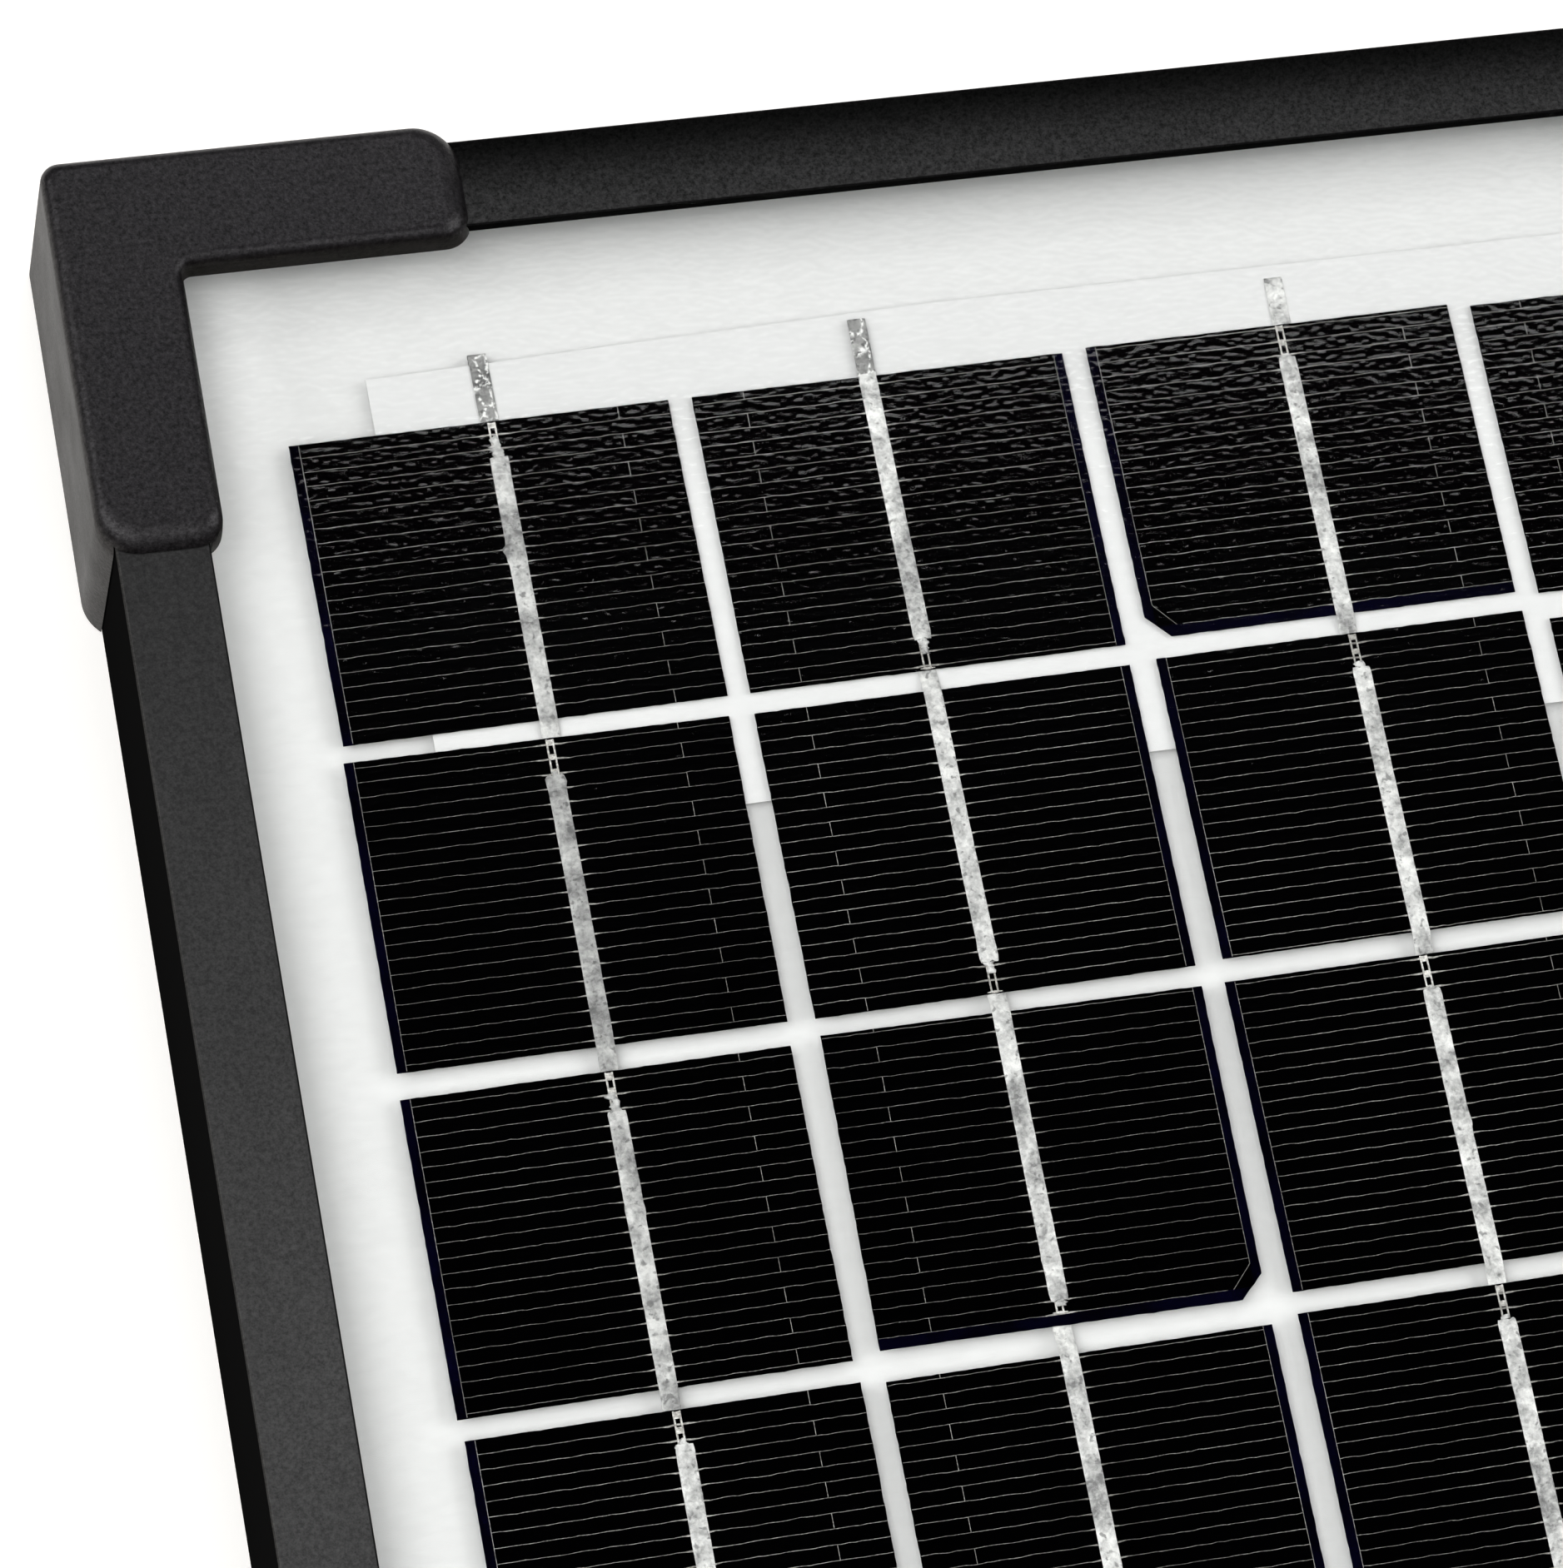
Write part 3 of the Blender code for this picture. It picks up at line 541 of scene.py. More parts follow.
def boolean(obj, cutter_mesh, operation="DIFFERENCE"):
    cutter = bpy.data.objects.new("cutter", cutter_mesh)
    bpy.context.scene.collection.objects.link(cutter)
    mod = obj.modifiers.new("b", "BOOLEAN")
    mod.operation, mod.solver, mod.object = operation, "EXACT", cutter
    bpy.context.view_layer.update()
    deps = bpy.context.evaluated_depsgraph_get()
    mesh = bpy.data.meshes.new_from_object(obj.evaluated_get(deps), depsgraph=deps)
    obj.modifiers.remove(mod)
    mats = list(obj.data.materials)
    obj.data = mesh
    mesh.materials.clear()
    for mat in mats:
        mesh.materials.append(mat)
    bpy.data.objects.remove(cutter, do_unlink=True)


def apply_modifiers(obj):
    bpy.context.view_layer.update()
    deps = bpy.context.evaluated_depsgraph_get()
    mesh = bpy.data.meshes.new_from_object(obj.evaluated_get(deps), depsgraph=deps)
    mats = list(obj.data.materials)
    obj.modifiers.clear()
    obj.data = mesh
    mesh.materials.clear()
    for mat in mats:
        mesh.materials.append(mat)


# ================================================================ camera
# World of the fit: origin at the frame's outer top-left corner on the lip, millimetres, X right, Y up the strings.
CAM_POS = Vector((-57.30, -219.08, 491.74))
CAM_R = Matrix(
    (
        (0.97206578, -0.17891427, 0.15191382),
        (-0.12019924, -0.93540279, -0.33252632),
        (0.20159431, 0.30497753, -0.93077840),
    )
)
FOCAL_PX, LONG_SIDE = 8021.9, 1883.0
cam_data = bpy.data.cameras.new("camera")
cam_data.sensor_width = 36.0
cam_data.lens = FOCAL_PX / LONG_SIDE * 36.0
cam_data.clip_start, cam_data.clip_end = 0.01, 20.0
cam = bpy.data.objects.new("camera", cam_data)
bpy.context.scene.collection.objects.link(cam)
rot = CAM_R.transposed() @ Matrix.Diagonal((1, -1, -1))
loc = Vector(((CAM_POS.x - HW) * MM, (CAM_POS.y + HL) * MM, (CAM_POS.z + FRAME_H) * MM))
cam.matrix_world = Matrix.Translation(loc) @ rot.to_4x4()
bpy.context.scene.camera = cam

# ================================================================ carried-over CAD nodes
for side, across, sign in (("left", 0, -1), ("right", 0, 1), ("top", 1, 1), ("bottom", 1, -1)):
    rail = NODES["frame_rail_" + side]
    dress(rail, anodised("anodised_" + side, across, sign))
for corner in ("top_left", "top_right", "bottom_left", "bottom_right"):
    dress(NODES["corner_key_" + corner], M_KEY)
dress(NODES["back_sheet"], M_BACK)


# ================================================================ corner caps
CAP_OUT, CAP_ARM, CAP_IN = 1.35, 32.6, 8.8
CAP_TOP = FRAME_H + CAP_OUT
EDGE_R = 1.15


END_R = 2.7
CAP_END = CAP_ARM + 0.36


def cap_outline(inset, end):
    """The cap's plan, measured in from the frame's corner: long sides shrunk by inset, arm ends by end."""
    i, e = inset, end
    m = (i + e) / 2
    c = [
        (-CAP_OUT + i, -CAP_OUT + i, max(1.6 - 0.8 * i, 0.5)),
        (CAP_END - e, -CAP_OUT + i, 3.6 - 0.75 * m),
        (CAP_END - e, CAP_IN - i, 2.4 - 0.6 * m),
        (CAP_IN - i, CAP_IN - i, 0.9 + i),
        (CAP_IN - i, CAP_END - e, 2.4 - 0.6 * m),
        (-CAP_OUT + i, CAP_END - e, 3.6 - 0.75 * m),
    ]
    return rounded(c, 12)


def fillet(radius, drop):
    return radius - math.sqrt(max(radius**2 - (radius - drop) ** 2, 0.0)) if drop < radius else 0.0


def corner_cap(name, sx, sy):
    rings = []
    levels = [(0.3, 0.3, 0.0), (0.0, 0.0, 0.3), (0.0, 0.0, 6.0), (0.0, 0.0, 12.0)]
    drops = [END_R * (1 - math.cos(math.radians(a))) for a in (90, 80, 70, 60, 52, 45, 38, 32, 26, 20, 15, 10, 5, 0)]
    for drop in drops:
        levels.append((fillet(EDGE_R, drop), fillet(END_R, drop), CAP_TOP - drop))
    for inset, end, z in levels:
        ring = [(sx * (HW - x), sy * (HL - y), z) for x, y in cap_outline(inset, end)]
        rings.append(ring)
    b = Build()
    b.ring_body(rings)
    mesh = b.mesh(name)
    bm = bmesh.new()
    bm.from_mesh(mesh)
    bmesh.ops.remove_doubles(bm, verts=bm.verts, dist=2e-6)
    bmesh.ops.recalc_face_normals(bm, faces=bm.faces)
    bm.to_mesh(mesh)
    bm.free()
    obj = new_object(name, mesh, [M_CAP])
    fit = 0.12

    def ell(points):
        return [(sx * (HW - x), sy * (HL - y)) for x, y in points]

    far = CAP_ARM + 6
    boolean(obj, prism_mesh(ell([(-fit, -fit), (far, -fit), (far, far), (-fit, far)]), -3, GLASS_TOP + 0.06))
    lip = LIP_W + fit
    boolean(obj, prism_mesh(ell([(-fit, -fit), (far, -fit), (far, lip), (lip, lip), (lip, far), (-fit, far)]), -4, FRAME_H + fit))
    obj.data.shade_smooth()
    obj.data.set_sharp_from_angle(angle=math.radians(35))
    mod = obj.modifiers.new("wn", "WEIGHTED_NORMAL")
    mod.keep_sharp = True
    mod.weight = 80
    apply_modifiers(obj)
    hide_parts("corner_cap_" + name.split("cap_", 1)[1])
    return obj


for where, (sx, sy) in {
    "top_left": (-1, 1),
    "top_right": (1, 1),
    "bottom_left": (-1, -1),
    "bottom_right": (1, -1),
}.items():
    corner_cap("cap_" + where, sx, sy)


# ================================================================ cells
# Hand-laid strings are never quite square: (shift x, shift y) in mm and turn in degrees.
LAID = {
    (1, 1): (0.09, -0.44, 0.66),
    (2, 1): (-0.12, -0.13, 0.47),
    (3, 1): (-0.19, 0.37, 0.50),
    (4, 1): (-0.35, 0.30, 0.50),
    (1, 2): (0.06, -0.11, 0.14),
    (2, 2): (0.09, 0.00, 0.51),
    (3, 2): (0.27, 0.55, 0.60),
    (1, 3): (0.07, -0.28, 0.49),
    (2, 3): (0.33, 0.32, -0.06),
    (3, 3): (0.27, 0.50, 0.50),
    (1, 4): (0.55, -0.10, 0.40),
    (2, 4): (0.40, -0.15, 0.40),
    (3, 4): (0.50, 0.60, 0.40),
}
# where the first finger lies below the cell's upper edge, mm
FIRST = {(1, 1): 1.2, (2, 1): 0.75, (3, 1): 0.30, (1, 2): 0.55, (2, 2): 1.2, (3, 2): 0.9, (1, 3): 0.7, (2, 3): 0.3}
THIN = {(1, 2): 0.72, (2, 3): 0.66, (1, 1): 0.85, (1, 3): 0.8}
CORNER_PIECES = {(3, 1): "low", (2, 3): "high", (1, 6): "high", (4, 7): "low"}
FINGER_PITCH = 1.24
BORDER = 0.78
BORDER_LOW = 0.9
Z_TOP = WAFER_BOTTOM + WAFER_T


def cell_pose(col, row):
    rnd = random.Random(100 * col + row)
    dx, dy, turn = LAID.get((col, row), (rnd.uniform(-0.2, 0.35), rnd.uniform(-0.2, 0.3), rnd.uniform(-0.1, 0.6)))
    cx = -HW + MARGIN_X + CELL_W / 2 + (col - 1) * PITCH_X + dx
    cy = HL - MARGIN_Y - CELL_H / 2 - (row - 1) * PITCH_Y + dy
    angle = math.radians(turn) + (math.pi if col % 2 == 0 else 0.0)
    return cx, cy, angle


def placed(col, row):
    """Map from a cell's own plan (its wafer edge on the left, its ribbon leaving downward) to the module."""
    cx, cy, angle = cell_pose(col, row)
    c, s = math.cos(angle), math.sin(angle)
    return lambda x, y: (cx + c * x - s * y, cy + s * x + c * y)


def wavy(points, seed, step=0.45, amp=0.045):
    """Subdivides a closed plan outline and roughens it like a laser-scribed and snapped edge."""
    out = []
    n = len(points)
    for i in range(n):
        a, b = Vector(points[i]), Vector(points[(i + 1) % n])
        d = b - a
        count = max(1, int(d.length / step))
        side = Vector((d.y, -d.x)).normalized()
        for k in range(count):
            p = a + d * (k / count)
            if k:
                w = noise.noise(Vector((p.x * 0.9 + seed * 3.1, p.y * 0.9, seed))) + 0.7 * noise.noise(
                    Vector((p.x * 2.7, p.y * 2.7 + seed, 4.0))
                )
                p = p + side * (amp * w)
            out.append((p.x, p.y))
    return out


def wafer_piece(col, row):
    at = placed(col, row)
    seed = col * 10 + row
    kind = CORNER_PIECES.get((col, row))
    hw, hh = CELL_W / 2, CELL_H / 2
    c = CHAMFER
    outline = []
    outline += [(-hw, -hh + c), (-hw + c, -hh)] if kind == "low" else [(-hw, -hh)]
    outline += [(hw, -hh), (hw, hh)]
    outline += [(-hw + c, hh), (-hw, hh - c)] if kind == "high" else [(-hw, hh)]
    ring = wavy(outline, seed)
    # inner outline: everything inside the printed edge line
    x0 = -hw + BORDER
    y0 = -hh + (BORDER_LOW if kind == "low" else 0.0)
    y1 = hh - (BORDER_LOW if kind == "high" else 0.0)
    b = Build()
    rise = 0.03
    lower = [(*at(x, y), WAFER_BOTTOM) for x, y in ring]
    upper = [(*at(x, y), Z_TOP - rise) for x, y in ring]
    top = [(*at(x * (1 - 0.04 / hw), y * (1 - 0.04 / hh)), Z_TOP) for x, y in ring]
    b.ring_body([lower, upper, top])
    mesh = b.mesh(f"wafer_c{col}_r{row}")
    # split the top along the edge line so that the border has its own finish
    bm = bmesh.new()
    bm.from_mesh(mesh)
    p0 = Vector((*at(x0, 0), 0)) * MM
    p1 = Vector((*at(x0 + 1, 0), 0)) * MM
    nrm = (p1 - p0).normalized()
    bmesh.ops.bisect_plane(bm, geom=bm.verts[:] + bm.edges[:] + bm.faces[:], plane_co=p0, plane_no=nrm)
    for yy, do in ((y0, kind == "low"), (y1, kind == "high")):
        if do:
            q0 = Vector((*at(0, yy), 0)) * MM
            q1 = Vector((*at(0, yy + 1), 0)) * MM
            bmesh.ops.bisect_plane(bm, geom=bm.verts[:] + bm.edges[:] + bm.faces[:], plane_co=q0, plane_no=(q1 - q0).normalized())
    cx, cy, angle = cell_pose(col, row)
    ca, sa = math.cos(-angle), math.sin(-angle)
    for f in bm.faces:
        m = f.calc_center_median() / MM
        dx, dy = m.x - cx, m.y - cy
        lx, ly = ca * dx - sa * dy, sa * dx + ca * dy
        inside = lx > x0 and y0 <= ly <= y1 or (kind is None and lx > x0)
        f.material_index = 0 if inside else 1
    bm.to_mesh(mesh)
    bm.free()
    obj = new_object(f"wafer_c{col}_r{row}", mesh, [M_SI, M_EDGE])
    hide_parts(f"cell_c{col}_r{row}")
    return obj


def trace(b, pts, widths, z0, z1, mat=0):
    """Printed line: a thin closed bar along a plan path with varying width."""
    rings = []
    n = len(pts)
    for i, (x, y) in enumerate(pts):
        ax, ay = pts[max(i - 1, 0)]
        bx, by = pts[min(i + 1, n - 1)]
        d = math.hypot(bx - ax, by - ay) or 1.0
        nx, ny = -(by - ay) / d, (bx - ax) / d
        w = widths[i] / 2
        rings.append([(x + nx * w * 0.6, y + ny * w * 0.6, z1), (x - nx * w * 0.6, y - ny * w * 0.6, z1), (x - nx * w, y - ny * w, z0), (x + nx * w, y + ny * w, z0)])
    b.ring_body(rings, mat)


def grid_piece(col, row):
    at = placed(col, row)
    seed = col * 17 + row * 5
    rnd = random.Random(seed)
    kind = CORNER_PIECES.get((col, row))
    hw, hh = CELL_W / 2, CELL_H / 2
    flip = col % 2 == 0
    first = FIRST.get((col, row), rnd.choice((0.35, 0.8, 1.2)))
    z0, z1 = Z_TOP + 0.004, Z_TOP + 0.022
    b = Build()
    thin = THIN.get((col, row), 1.0 if row < 4 else rnd.uniform(0.75, 1.0))
    xr = -hw + RIBBON_AT * CELL_W  # ribbon centre
    xe = -hw + BORDER
    lo = -hh + (BORDER_LOW if kind == "low" else 0.02)
    hi = hh - (BORDER_LOW if kind == "high" else 0.02)
    levels = []
    # offsets run down from the edge that is uppermost in the module
    for k in range(22):
        d = first + k * FINGER_PITCH
        y = (-hh + d) if flip else (hh - d)
        if lo <= y <= hi:
            levels.append(y)
    if kind and min(abs(lo - y) for y in levels) > 0.3 and kind == "low":
        levels.append(lo)
    if kind == "high" and min(abs(hi - y) for y in levels) > 0.3:
        levels.append(hi)
    levels.sort()
    wave = []
    for j, y in enumerate(levels):
        xs = np.linspace(xe, hw - 0.02, 56)
        start = xe
        if kind == "low" and y < lo + CHAMFER:
            start = max(xe, xe + (lo + CHAMFER - y) * 0.9)
        if kind == "high" and y > hi - CHAMFER:
            start = max(xe, xe + (y - hi + CHAMFER) * 0.9)
        xs = xs[xs >= start - 1e-6]
        pts, widths = [], []
        for x in xs:
            w = 0.06 * noise.noise(Vector((x * 0.7, j * 7.3, seed))) + 0.055 * noise.noise(Vector((x * 1.9, j * 3.7, seed + 9.0)))
            near = abs(x - xr)
            flare = 0.11 * math.exp(-((max(near - 0.75, 0.0) / 0.5) ** 2))
            pts.append(at(x, y + w))
            widths.append(thin * (0.044 + 0.022 * noise.noise(Vector((x * 1.7, j * 1.9, seed + 3.0)))) + flare)
        trace(b, pts, widths, z0, z1)
        wave.append(y)
    # edge line that joins the fingers' ends
    line = []
    if kind == "low":
        line += [(xe + CHAMFER * 0.9, lo), (xe, lo + CHAMFER)]
    else:
        line += [(xe, -hh + 0.05)]
    if kind == "high":
        line += [(xe, hi - CHAMFER), (xe + CHAMFER * 0.9, hi)]
    else:
        line += [(xe, hh - 0.05)]
    dense = []
    for (ax, ay), (bx, by) in zip(line, line[1:]):
        n = max(2, int(math.hypot(bx - ax, by - ay) / 0.5))
        dense += [(ax + (bx - ax) * k / n, ay + (by - ay) * k / n) for k in range(n)]
    dense.append(line[-1])
    pts = [at(x + 0.02 * noise.noise(Vector((y * 1.7, seed, 2.0))), y) for x, y in dense]
    trace(b, pts, [0.042 + 0.02 * noise.noise(Vector((y * 2.2, seed, 5.0))) for _, y in dense], z0, z1)
    # short cross ticks between every other pair of fingers
    xt = -hw + 0.864 * CELL_W
    order = levels if flip else levels[::-1]
    edges = [(-hh if flip else hh)] + order + [(hh if flip else -hh)]
    for k in range(0, len(edges) - 1, 2):
        ya, yb = edges[k], edges[k + 1]
        if abs(ya - yb) < 0.15:
            continue
        n = 5
        pts = [at(xt + 0.015 * noise.noise(Vector((q * 3.0, k, seed))), ya + (yb - ya) * q / n) for q in range(n + 1)]
        trace(b, pts, [0.048] * (n + 1), z0, z1)
    # hollow busbar: two rails with solid pads that leave dark windows
    top = hh - (BORDER_LOW if kind == "high" else 0.0)
    end = -hh + 0.4
    for s in (-1, 1):
        ys = np.linspace(top - 0.1, top - RIBBON_START - 1.4, 16)
        pts = [at(xr + s * (0.26 + 0.012 * noise.noise(Vector((y * 2.0, seed, s)))), y) for y in ys]
        trace(b, pts, [0.15 + 0.03 * noise.noise(Vector((y * 2.5, seed + 1.0, s))) for y in ys], z0, z1 + 0.002, 1)
    if col % 2:
        k = 0
        y = top - 0.15
        while y > top - RIBBON_START - 0.6:
            length = 0.42 + 0.15 * rnd.random()
            pts = [at(xr, y - length * q / 3) for q in range(4)]
            trace(b, pts, [0.60] * 4, z0, z1 + 0.001, 1)
            y -= 1.24
            k += 1
    else:
        pts = [at(xr - 0.62 + 1.24 * q / 6, top - 0.12) for q in range(7)]
        trace(b, pts, [0.06, 0.10, 0.18, 0.22, 0.18, 0.10, 0.06], z0, z1 + 0.001, 1)
    mesh = b.mesh(f"grid_c{col}_r{row}")
    return new_object(f"grid_c{col}_r{row}", mesh, [M_PASTE, M_BUSBAR])


# ---------------------------------------------------------------- ribbons
def ribbon_into(b, path, seed, width=RIBBON_W, blobs=(), ragged=(True, False), lump=0.05, across=8, step=0.28, thick=0.13, mat=0):
    """Flat solder-coated strip along a path of (x, y, z), with an uneven edge, lumps and solder blobs.
    blobs are (distance along, extra width, extra height, length)."""
    pts = [Vector(p) for p in path]
    seg = [(b - a).length for a, b in zip(pts, pts[1:])]
    total = sum(seg)
    n = max(3, int(total / step))
    rings = []
    for i in range(n + 1):
        t = total * i / n
        k = 0
        u = t
        while k < len(seg) - 1 and u > seg[k]:
            u -= seg[k]
            k += 1
        p = pts[k].lerp(pts[k + 1], min(1.0, u / seg[k]))
        d = (pts[k + 1] - pts[k]).normalized()
        side = Vector((d.y, -d.x, 0)).normalized()
        grow, grow_l, rise = 0.0, 0.0, 0.0
        for where, wide, wide_l, high, length in blobs:
            g = math.exp(-(((t - where) / length) ** 2))
            grow += wide * g
            grow_l += wide_l * g
            rise += high * g
        taper = 1.0
        if ragged[0] and t < 0.7:
            taper = 0.90 + 0.10 * t / 0.7
        if ragged[1] and total - t < 0.5:
            taper = min(taper, 0.7 + 0.3 * (total - t) / 0.5)
        lw = width / 2 * taper + grow_l * (0.6 + 0.4 * noise.noise(Vector((t * 3.1, seed, 1.0)))) + 0.025 * noise.noise(Vector((t * 0.6, seed, 3.0))) + 0.022 * noise.noise(Vector((t * 3.9, seed, 8.0)))
        rw = width / 2 * taper + grow * (0.6 + 0.4 * noise.noise(Vector((t * 2.7, seed + 5, 1.0)))) + 0.025 * noise.noise(Vector((t * 0.7, seed + 7, 3.0))) + 0.022 * noise.noise(Vector((t * 4.3, seed + 9, 8.0)))
        ring = []
        jag = 0.0
        for j in range(across + 1):
            s = j / across
            off = -lw + (lw + rw) * s
            if i == 0 and ragged[0]:
                jag = 0.22 * noise.noise(Vector((off * 3.0, seed, 6.0)))
            elif i == n and ragged[1]:
                jag = 0.22 * noise.noise(Vector((off * 3.0, seed, 7.0)))
            else:
                jag = 0.0
            crown = 0.035 * (1 - (2 * s - 1) ** 4)
            h = thick + crown + rise * (1 - (2 * s - 1) ** 2)
            h += lump * noise.noise(Vector((off * 1.1, t * 0.75, seed))) + lump * 0.55 * noise.noise(Vector((off * 3.3, t * 2.9, seed + 2)))
            if j in (0, across):
                h = thick * 0.5
            q = p + side * off + d * jag
            ring.append((q.x, q.y, q.z + max(h, 0.02)))
        q = p + side * (rw - 0.02) + d * 0.0
        ring.append((q.x, q.y, q.z))
        q = p - side * (lw - 0.02)
        ring.append((q.x, q.y, q.z))
        rings.append(ring)
    b.ring_body(rings, mat)


def closed_mesh(b, name):
    mesh = b.mesh(name)
    bm = bmesh.new()
    bm.from_mesh(mesh)
    bmesh.ops.recalc_face_normals(bm, faces=bm.faces)
    bm.to_mesh(mesh)
    bm.free()
    return mesh


def ribbon_mesh(name, path, seed, **more):
    b = Build()
    ribbon_into(b, path, seed, **more)
    return closed_mesh(b, name)


# ribbon start below the cell's upper edge (own plan), mm, and the length of the narrow solder tongue before it
STARTS = {(1, 1): 3.25, (1, 2): 3.25, (1, 3): 3.35, (1, 4): 2.8, (2, 1): 2.6, (2, 2): 2.6, (2, 3): 1.95, (3, 1): 3.0, (3, 2): 3.05, (3, 3): 2.97, (3, 4): 2.96}
NECKS = {(1, 1): 1.95, (1, 2): 0.35, (1, 3): 1.5, (1, 4): 0.5, (2, 1): 1.25, (2, 2): 0.95, (2, 3): 0.45, (3, 1): 0.3, (3, 2): 0.5, (3, 3): 0.3, (3, 4): 0.4}
# solder blobs along a ribbon from its start: (distance, extra width either side, extra height, length)
BLOBS = {
    (1, 1): ((0.2, 0.05, 0.16, 0.10, 0.4), (2.9, 0.03, 0.0, 0.14, 0.45), (8.0, 0.58, 0.10, 0.20, 0.36), (8.8, 0.22, 0.06, 0.16, 0.35)),
    (1, 2): ((0.4, 0.20, 0.24, 0.16, 0.45), (2.4, 0.0, 0.0, -0.06, 0.4)),
    (1, 3): ((0.3, 0.12, 0.05, 0.16, 0.4), (6.3, 0.02, 0.06, 0.08, 0.7), (8.2, 0.10, 0.16, 0.22, 0.45)),
    (2, 1): ((0.3, 0.04, 0.05, 0.10, 0.5), (1.8, 0.0, 0.02, 0.07, 0.5)),
    (2, 2): ((0.3, 0.10, 0.12, 0.12, 0.35), (1.1, 0.04, 0.08, 0.10, 0.4), (3.4, 0.0, 0.0, 0.06, 0.6)),
    (3, 1): ((0.2, 0.02, 0.03, 0.05, 0.5),),
}


def tongue(b, at, x, start, length, seed):
    """Solder that ran ahead of the ribbon along the busbar, torn and narrow."""
    z = Z_TOP + 0.02
    n = max(5, int(length / 0.09))
    rings = []
    for i in range(n + 1):
        t = i / n
        y = start - 0.25 + (length + 0.25) * t
        half = 0.34 * (1 - t) ** 0.8 + 0.24
        left = half + 0.55 * max(noise.noise(Vector((y * 3.1, seed, 1.5))), -0.2) + 0.30 * noise.noise(Vector((y * 7.0, seed, 2.5)))
        right = half * 0.9 + 0.16 * noise.noise(Vector((y * 2.9, seed, 4.5))) + 0.10 * noise.noise(Vector((y * 8.0, seed, 5.5)))
        left, right = max(left, 0.12), max(right, 0.12)
        ring = []
        for j in range(7):
            s = j / 6
            off = -left + (left + right) * s
            h = 0.10 + 0.09 * (1 - (2 * s - 1) ** 2) + 0.07 * noise.noise(Vector((off * 3.0, y * 3.0, seed + 6.0)))
            px, py = at(x + off, y)
            ring.append((px, py, z + (0.03 if j in (0, 6) else max(h, 0.03))))
        for off in (right - 0.03, -left + 0.03):
            px, py = at(x + off, y)
            ring.append((px, py, z - 0.01))
        rings.append(ring)
    b.ring_body(rings)


def ribbon_piece(col, row):
    at = placed(col, row)
    seed = col * 31 + row * 7
    rnd = random.Random(seed)
    hw, hh = CELL_W / 2, CELL_H / 2
    x = -hw + RIBBON_AT * CELL_W
    start = hh - STARTS.get((col, row), RIBBON_START + rnd.uniform(-0.9, 0.2))
    neck = NECKS.get((col, row), rnd.uniform(0.2, 1.3))
    last = row == (1 if col % 2 == 0 else ROWS)
    z = Z_TOP + 0.02
    lean = rnd.uniform(-0.12, 0.12)
    path = [(*at(x + lean, start), z), (*at(x + lean * 0.3, 0), z), (*at(x, -hh + 0.3), z), (*at(x, -hh - 0.15), z)]
    stub = None
    if last:
        out = STUB - (0.45 if (col, row) == (2, 1) else 0.0)
        stub = [path[-1], (*at(x + lean * 0.5, -hh - out), z - 0.02)]
    else:
        gap = PITCH_Y - CELL_H
        low = WAFER_BOTTOM - 0.2
        path += [(*at(x + 0.02, -hh - gap + 0.1), low), (*at(x + 0.02, -hh - gap - 3.5), low)]
    blobs = BLOBS.get((col, row))
    if blobs is None:
        blobs = [(0.3, rnd.uniform(0.0, 0.12), rnd.uniform(0.0, 0.12), rnd.uniform(0.03, 0.12), rnd.uniform(0.3, 0.7))]
        for _ in range(rnd.choice((0, 1, 1, 2))):
            blobs.append((rnd.uniform(2, 18), rnd.uniform(0.0, 0.08), rnd.uniform(0.0, 0.2), rnd.uniform(0.03, 0.15), rnd.uniform(0.3, 0.8)))
    b = Build()
    ribbon_into(b, path, seed, blobs=blobs)
    tongue(b, at, x + lean, start, neck, seed)
    if stub:
        ribbon_into(b, stub, seed + 3, width=1.54, ragged=(False, False), lump=0.04, mat=1)
    mesh = closed_mesh(b, f"ribbon_c{col}_r{row}")
    front = {(1, 1): M_TIN_DARKER, (1, 2): M_TIN_GREY, (1, 3): M_TIN_DARKER}.get((col, row), M_TIN)
    return new_object(f"ribbon_c{col}_r{row}", mesh, [front, M_TIN_DULL], smooth=60)


for col in range(1, COLS + 1):
    for row in range(1, ROWS + 1):
        wafer_piece(col, row)
        grid_piece(col, row)
        ribbon_piece(col, row)


# ---------------------------------------------------------------- collecting ribbons
BUS_Z = 12.11
TAIL_Z = WAFER_BOTTOM - 0.19


def ribbon_x(col):
    x = -HW + MARGIN_X + CELL_W / 2 + (col - 1) * PITCH_X
    off = (RIBBON_AT - 0.5) * CELL_W
    return x + (off if col % 2 else -off)


def fold(b, x, y, way, z_high, z_low, width=RIBBON_W):
    """The ribbon turned down over the sheet's edge: a small hairpin seen edge on."""
    r = (z_high - z_low) / 2
    t = 0.15
    zc = (z_high + z_low) / 2
    rings = []
    for k in range(9):
        a = math.pi / 2 - math.pi * k / 8
        c, s_ = math.cos(a), math.sin(a)
        inner, outer = max(r - t / 2, 0.02), r + t / 2
        rings.append(
            [
                (x - width / 2, y + way * outer * c, zc + outer * s_),
                (x + width / 2, y + way * outer * c, zc + outer * s_),
                (x + width / 2, y + way * inner * c, zc + inner * s_),
                (x - width / 2, y + way * inner * c, zc + inner * s_),
            ]
        )
    b.ring_body(rings)


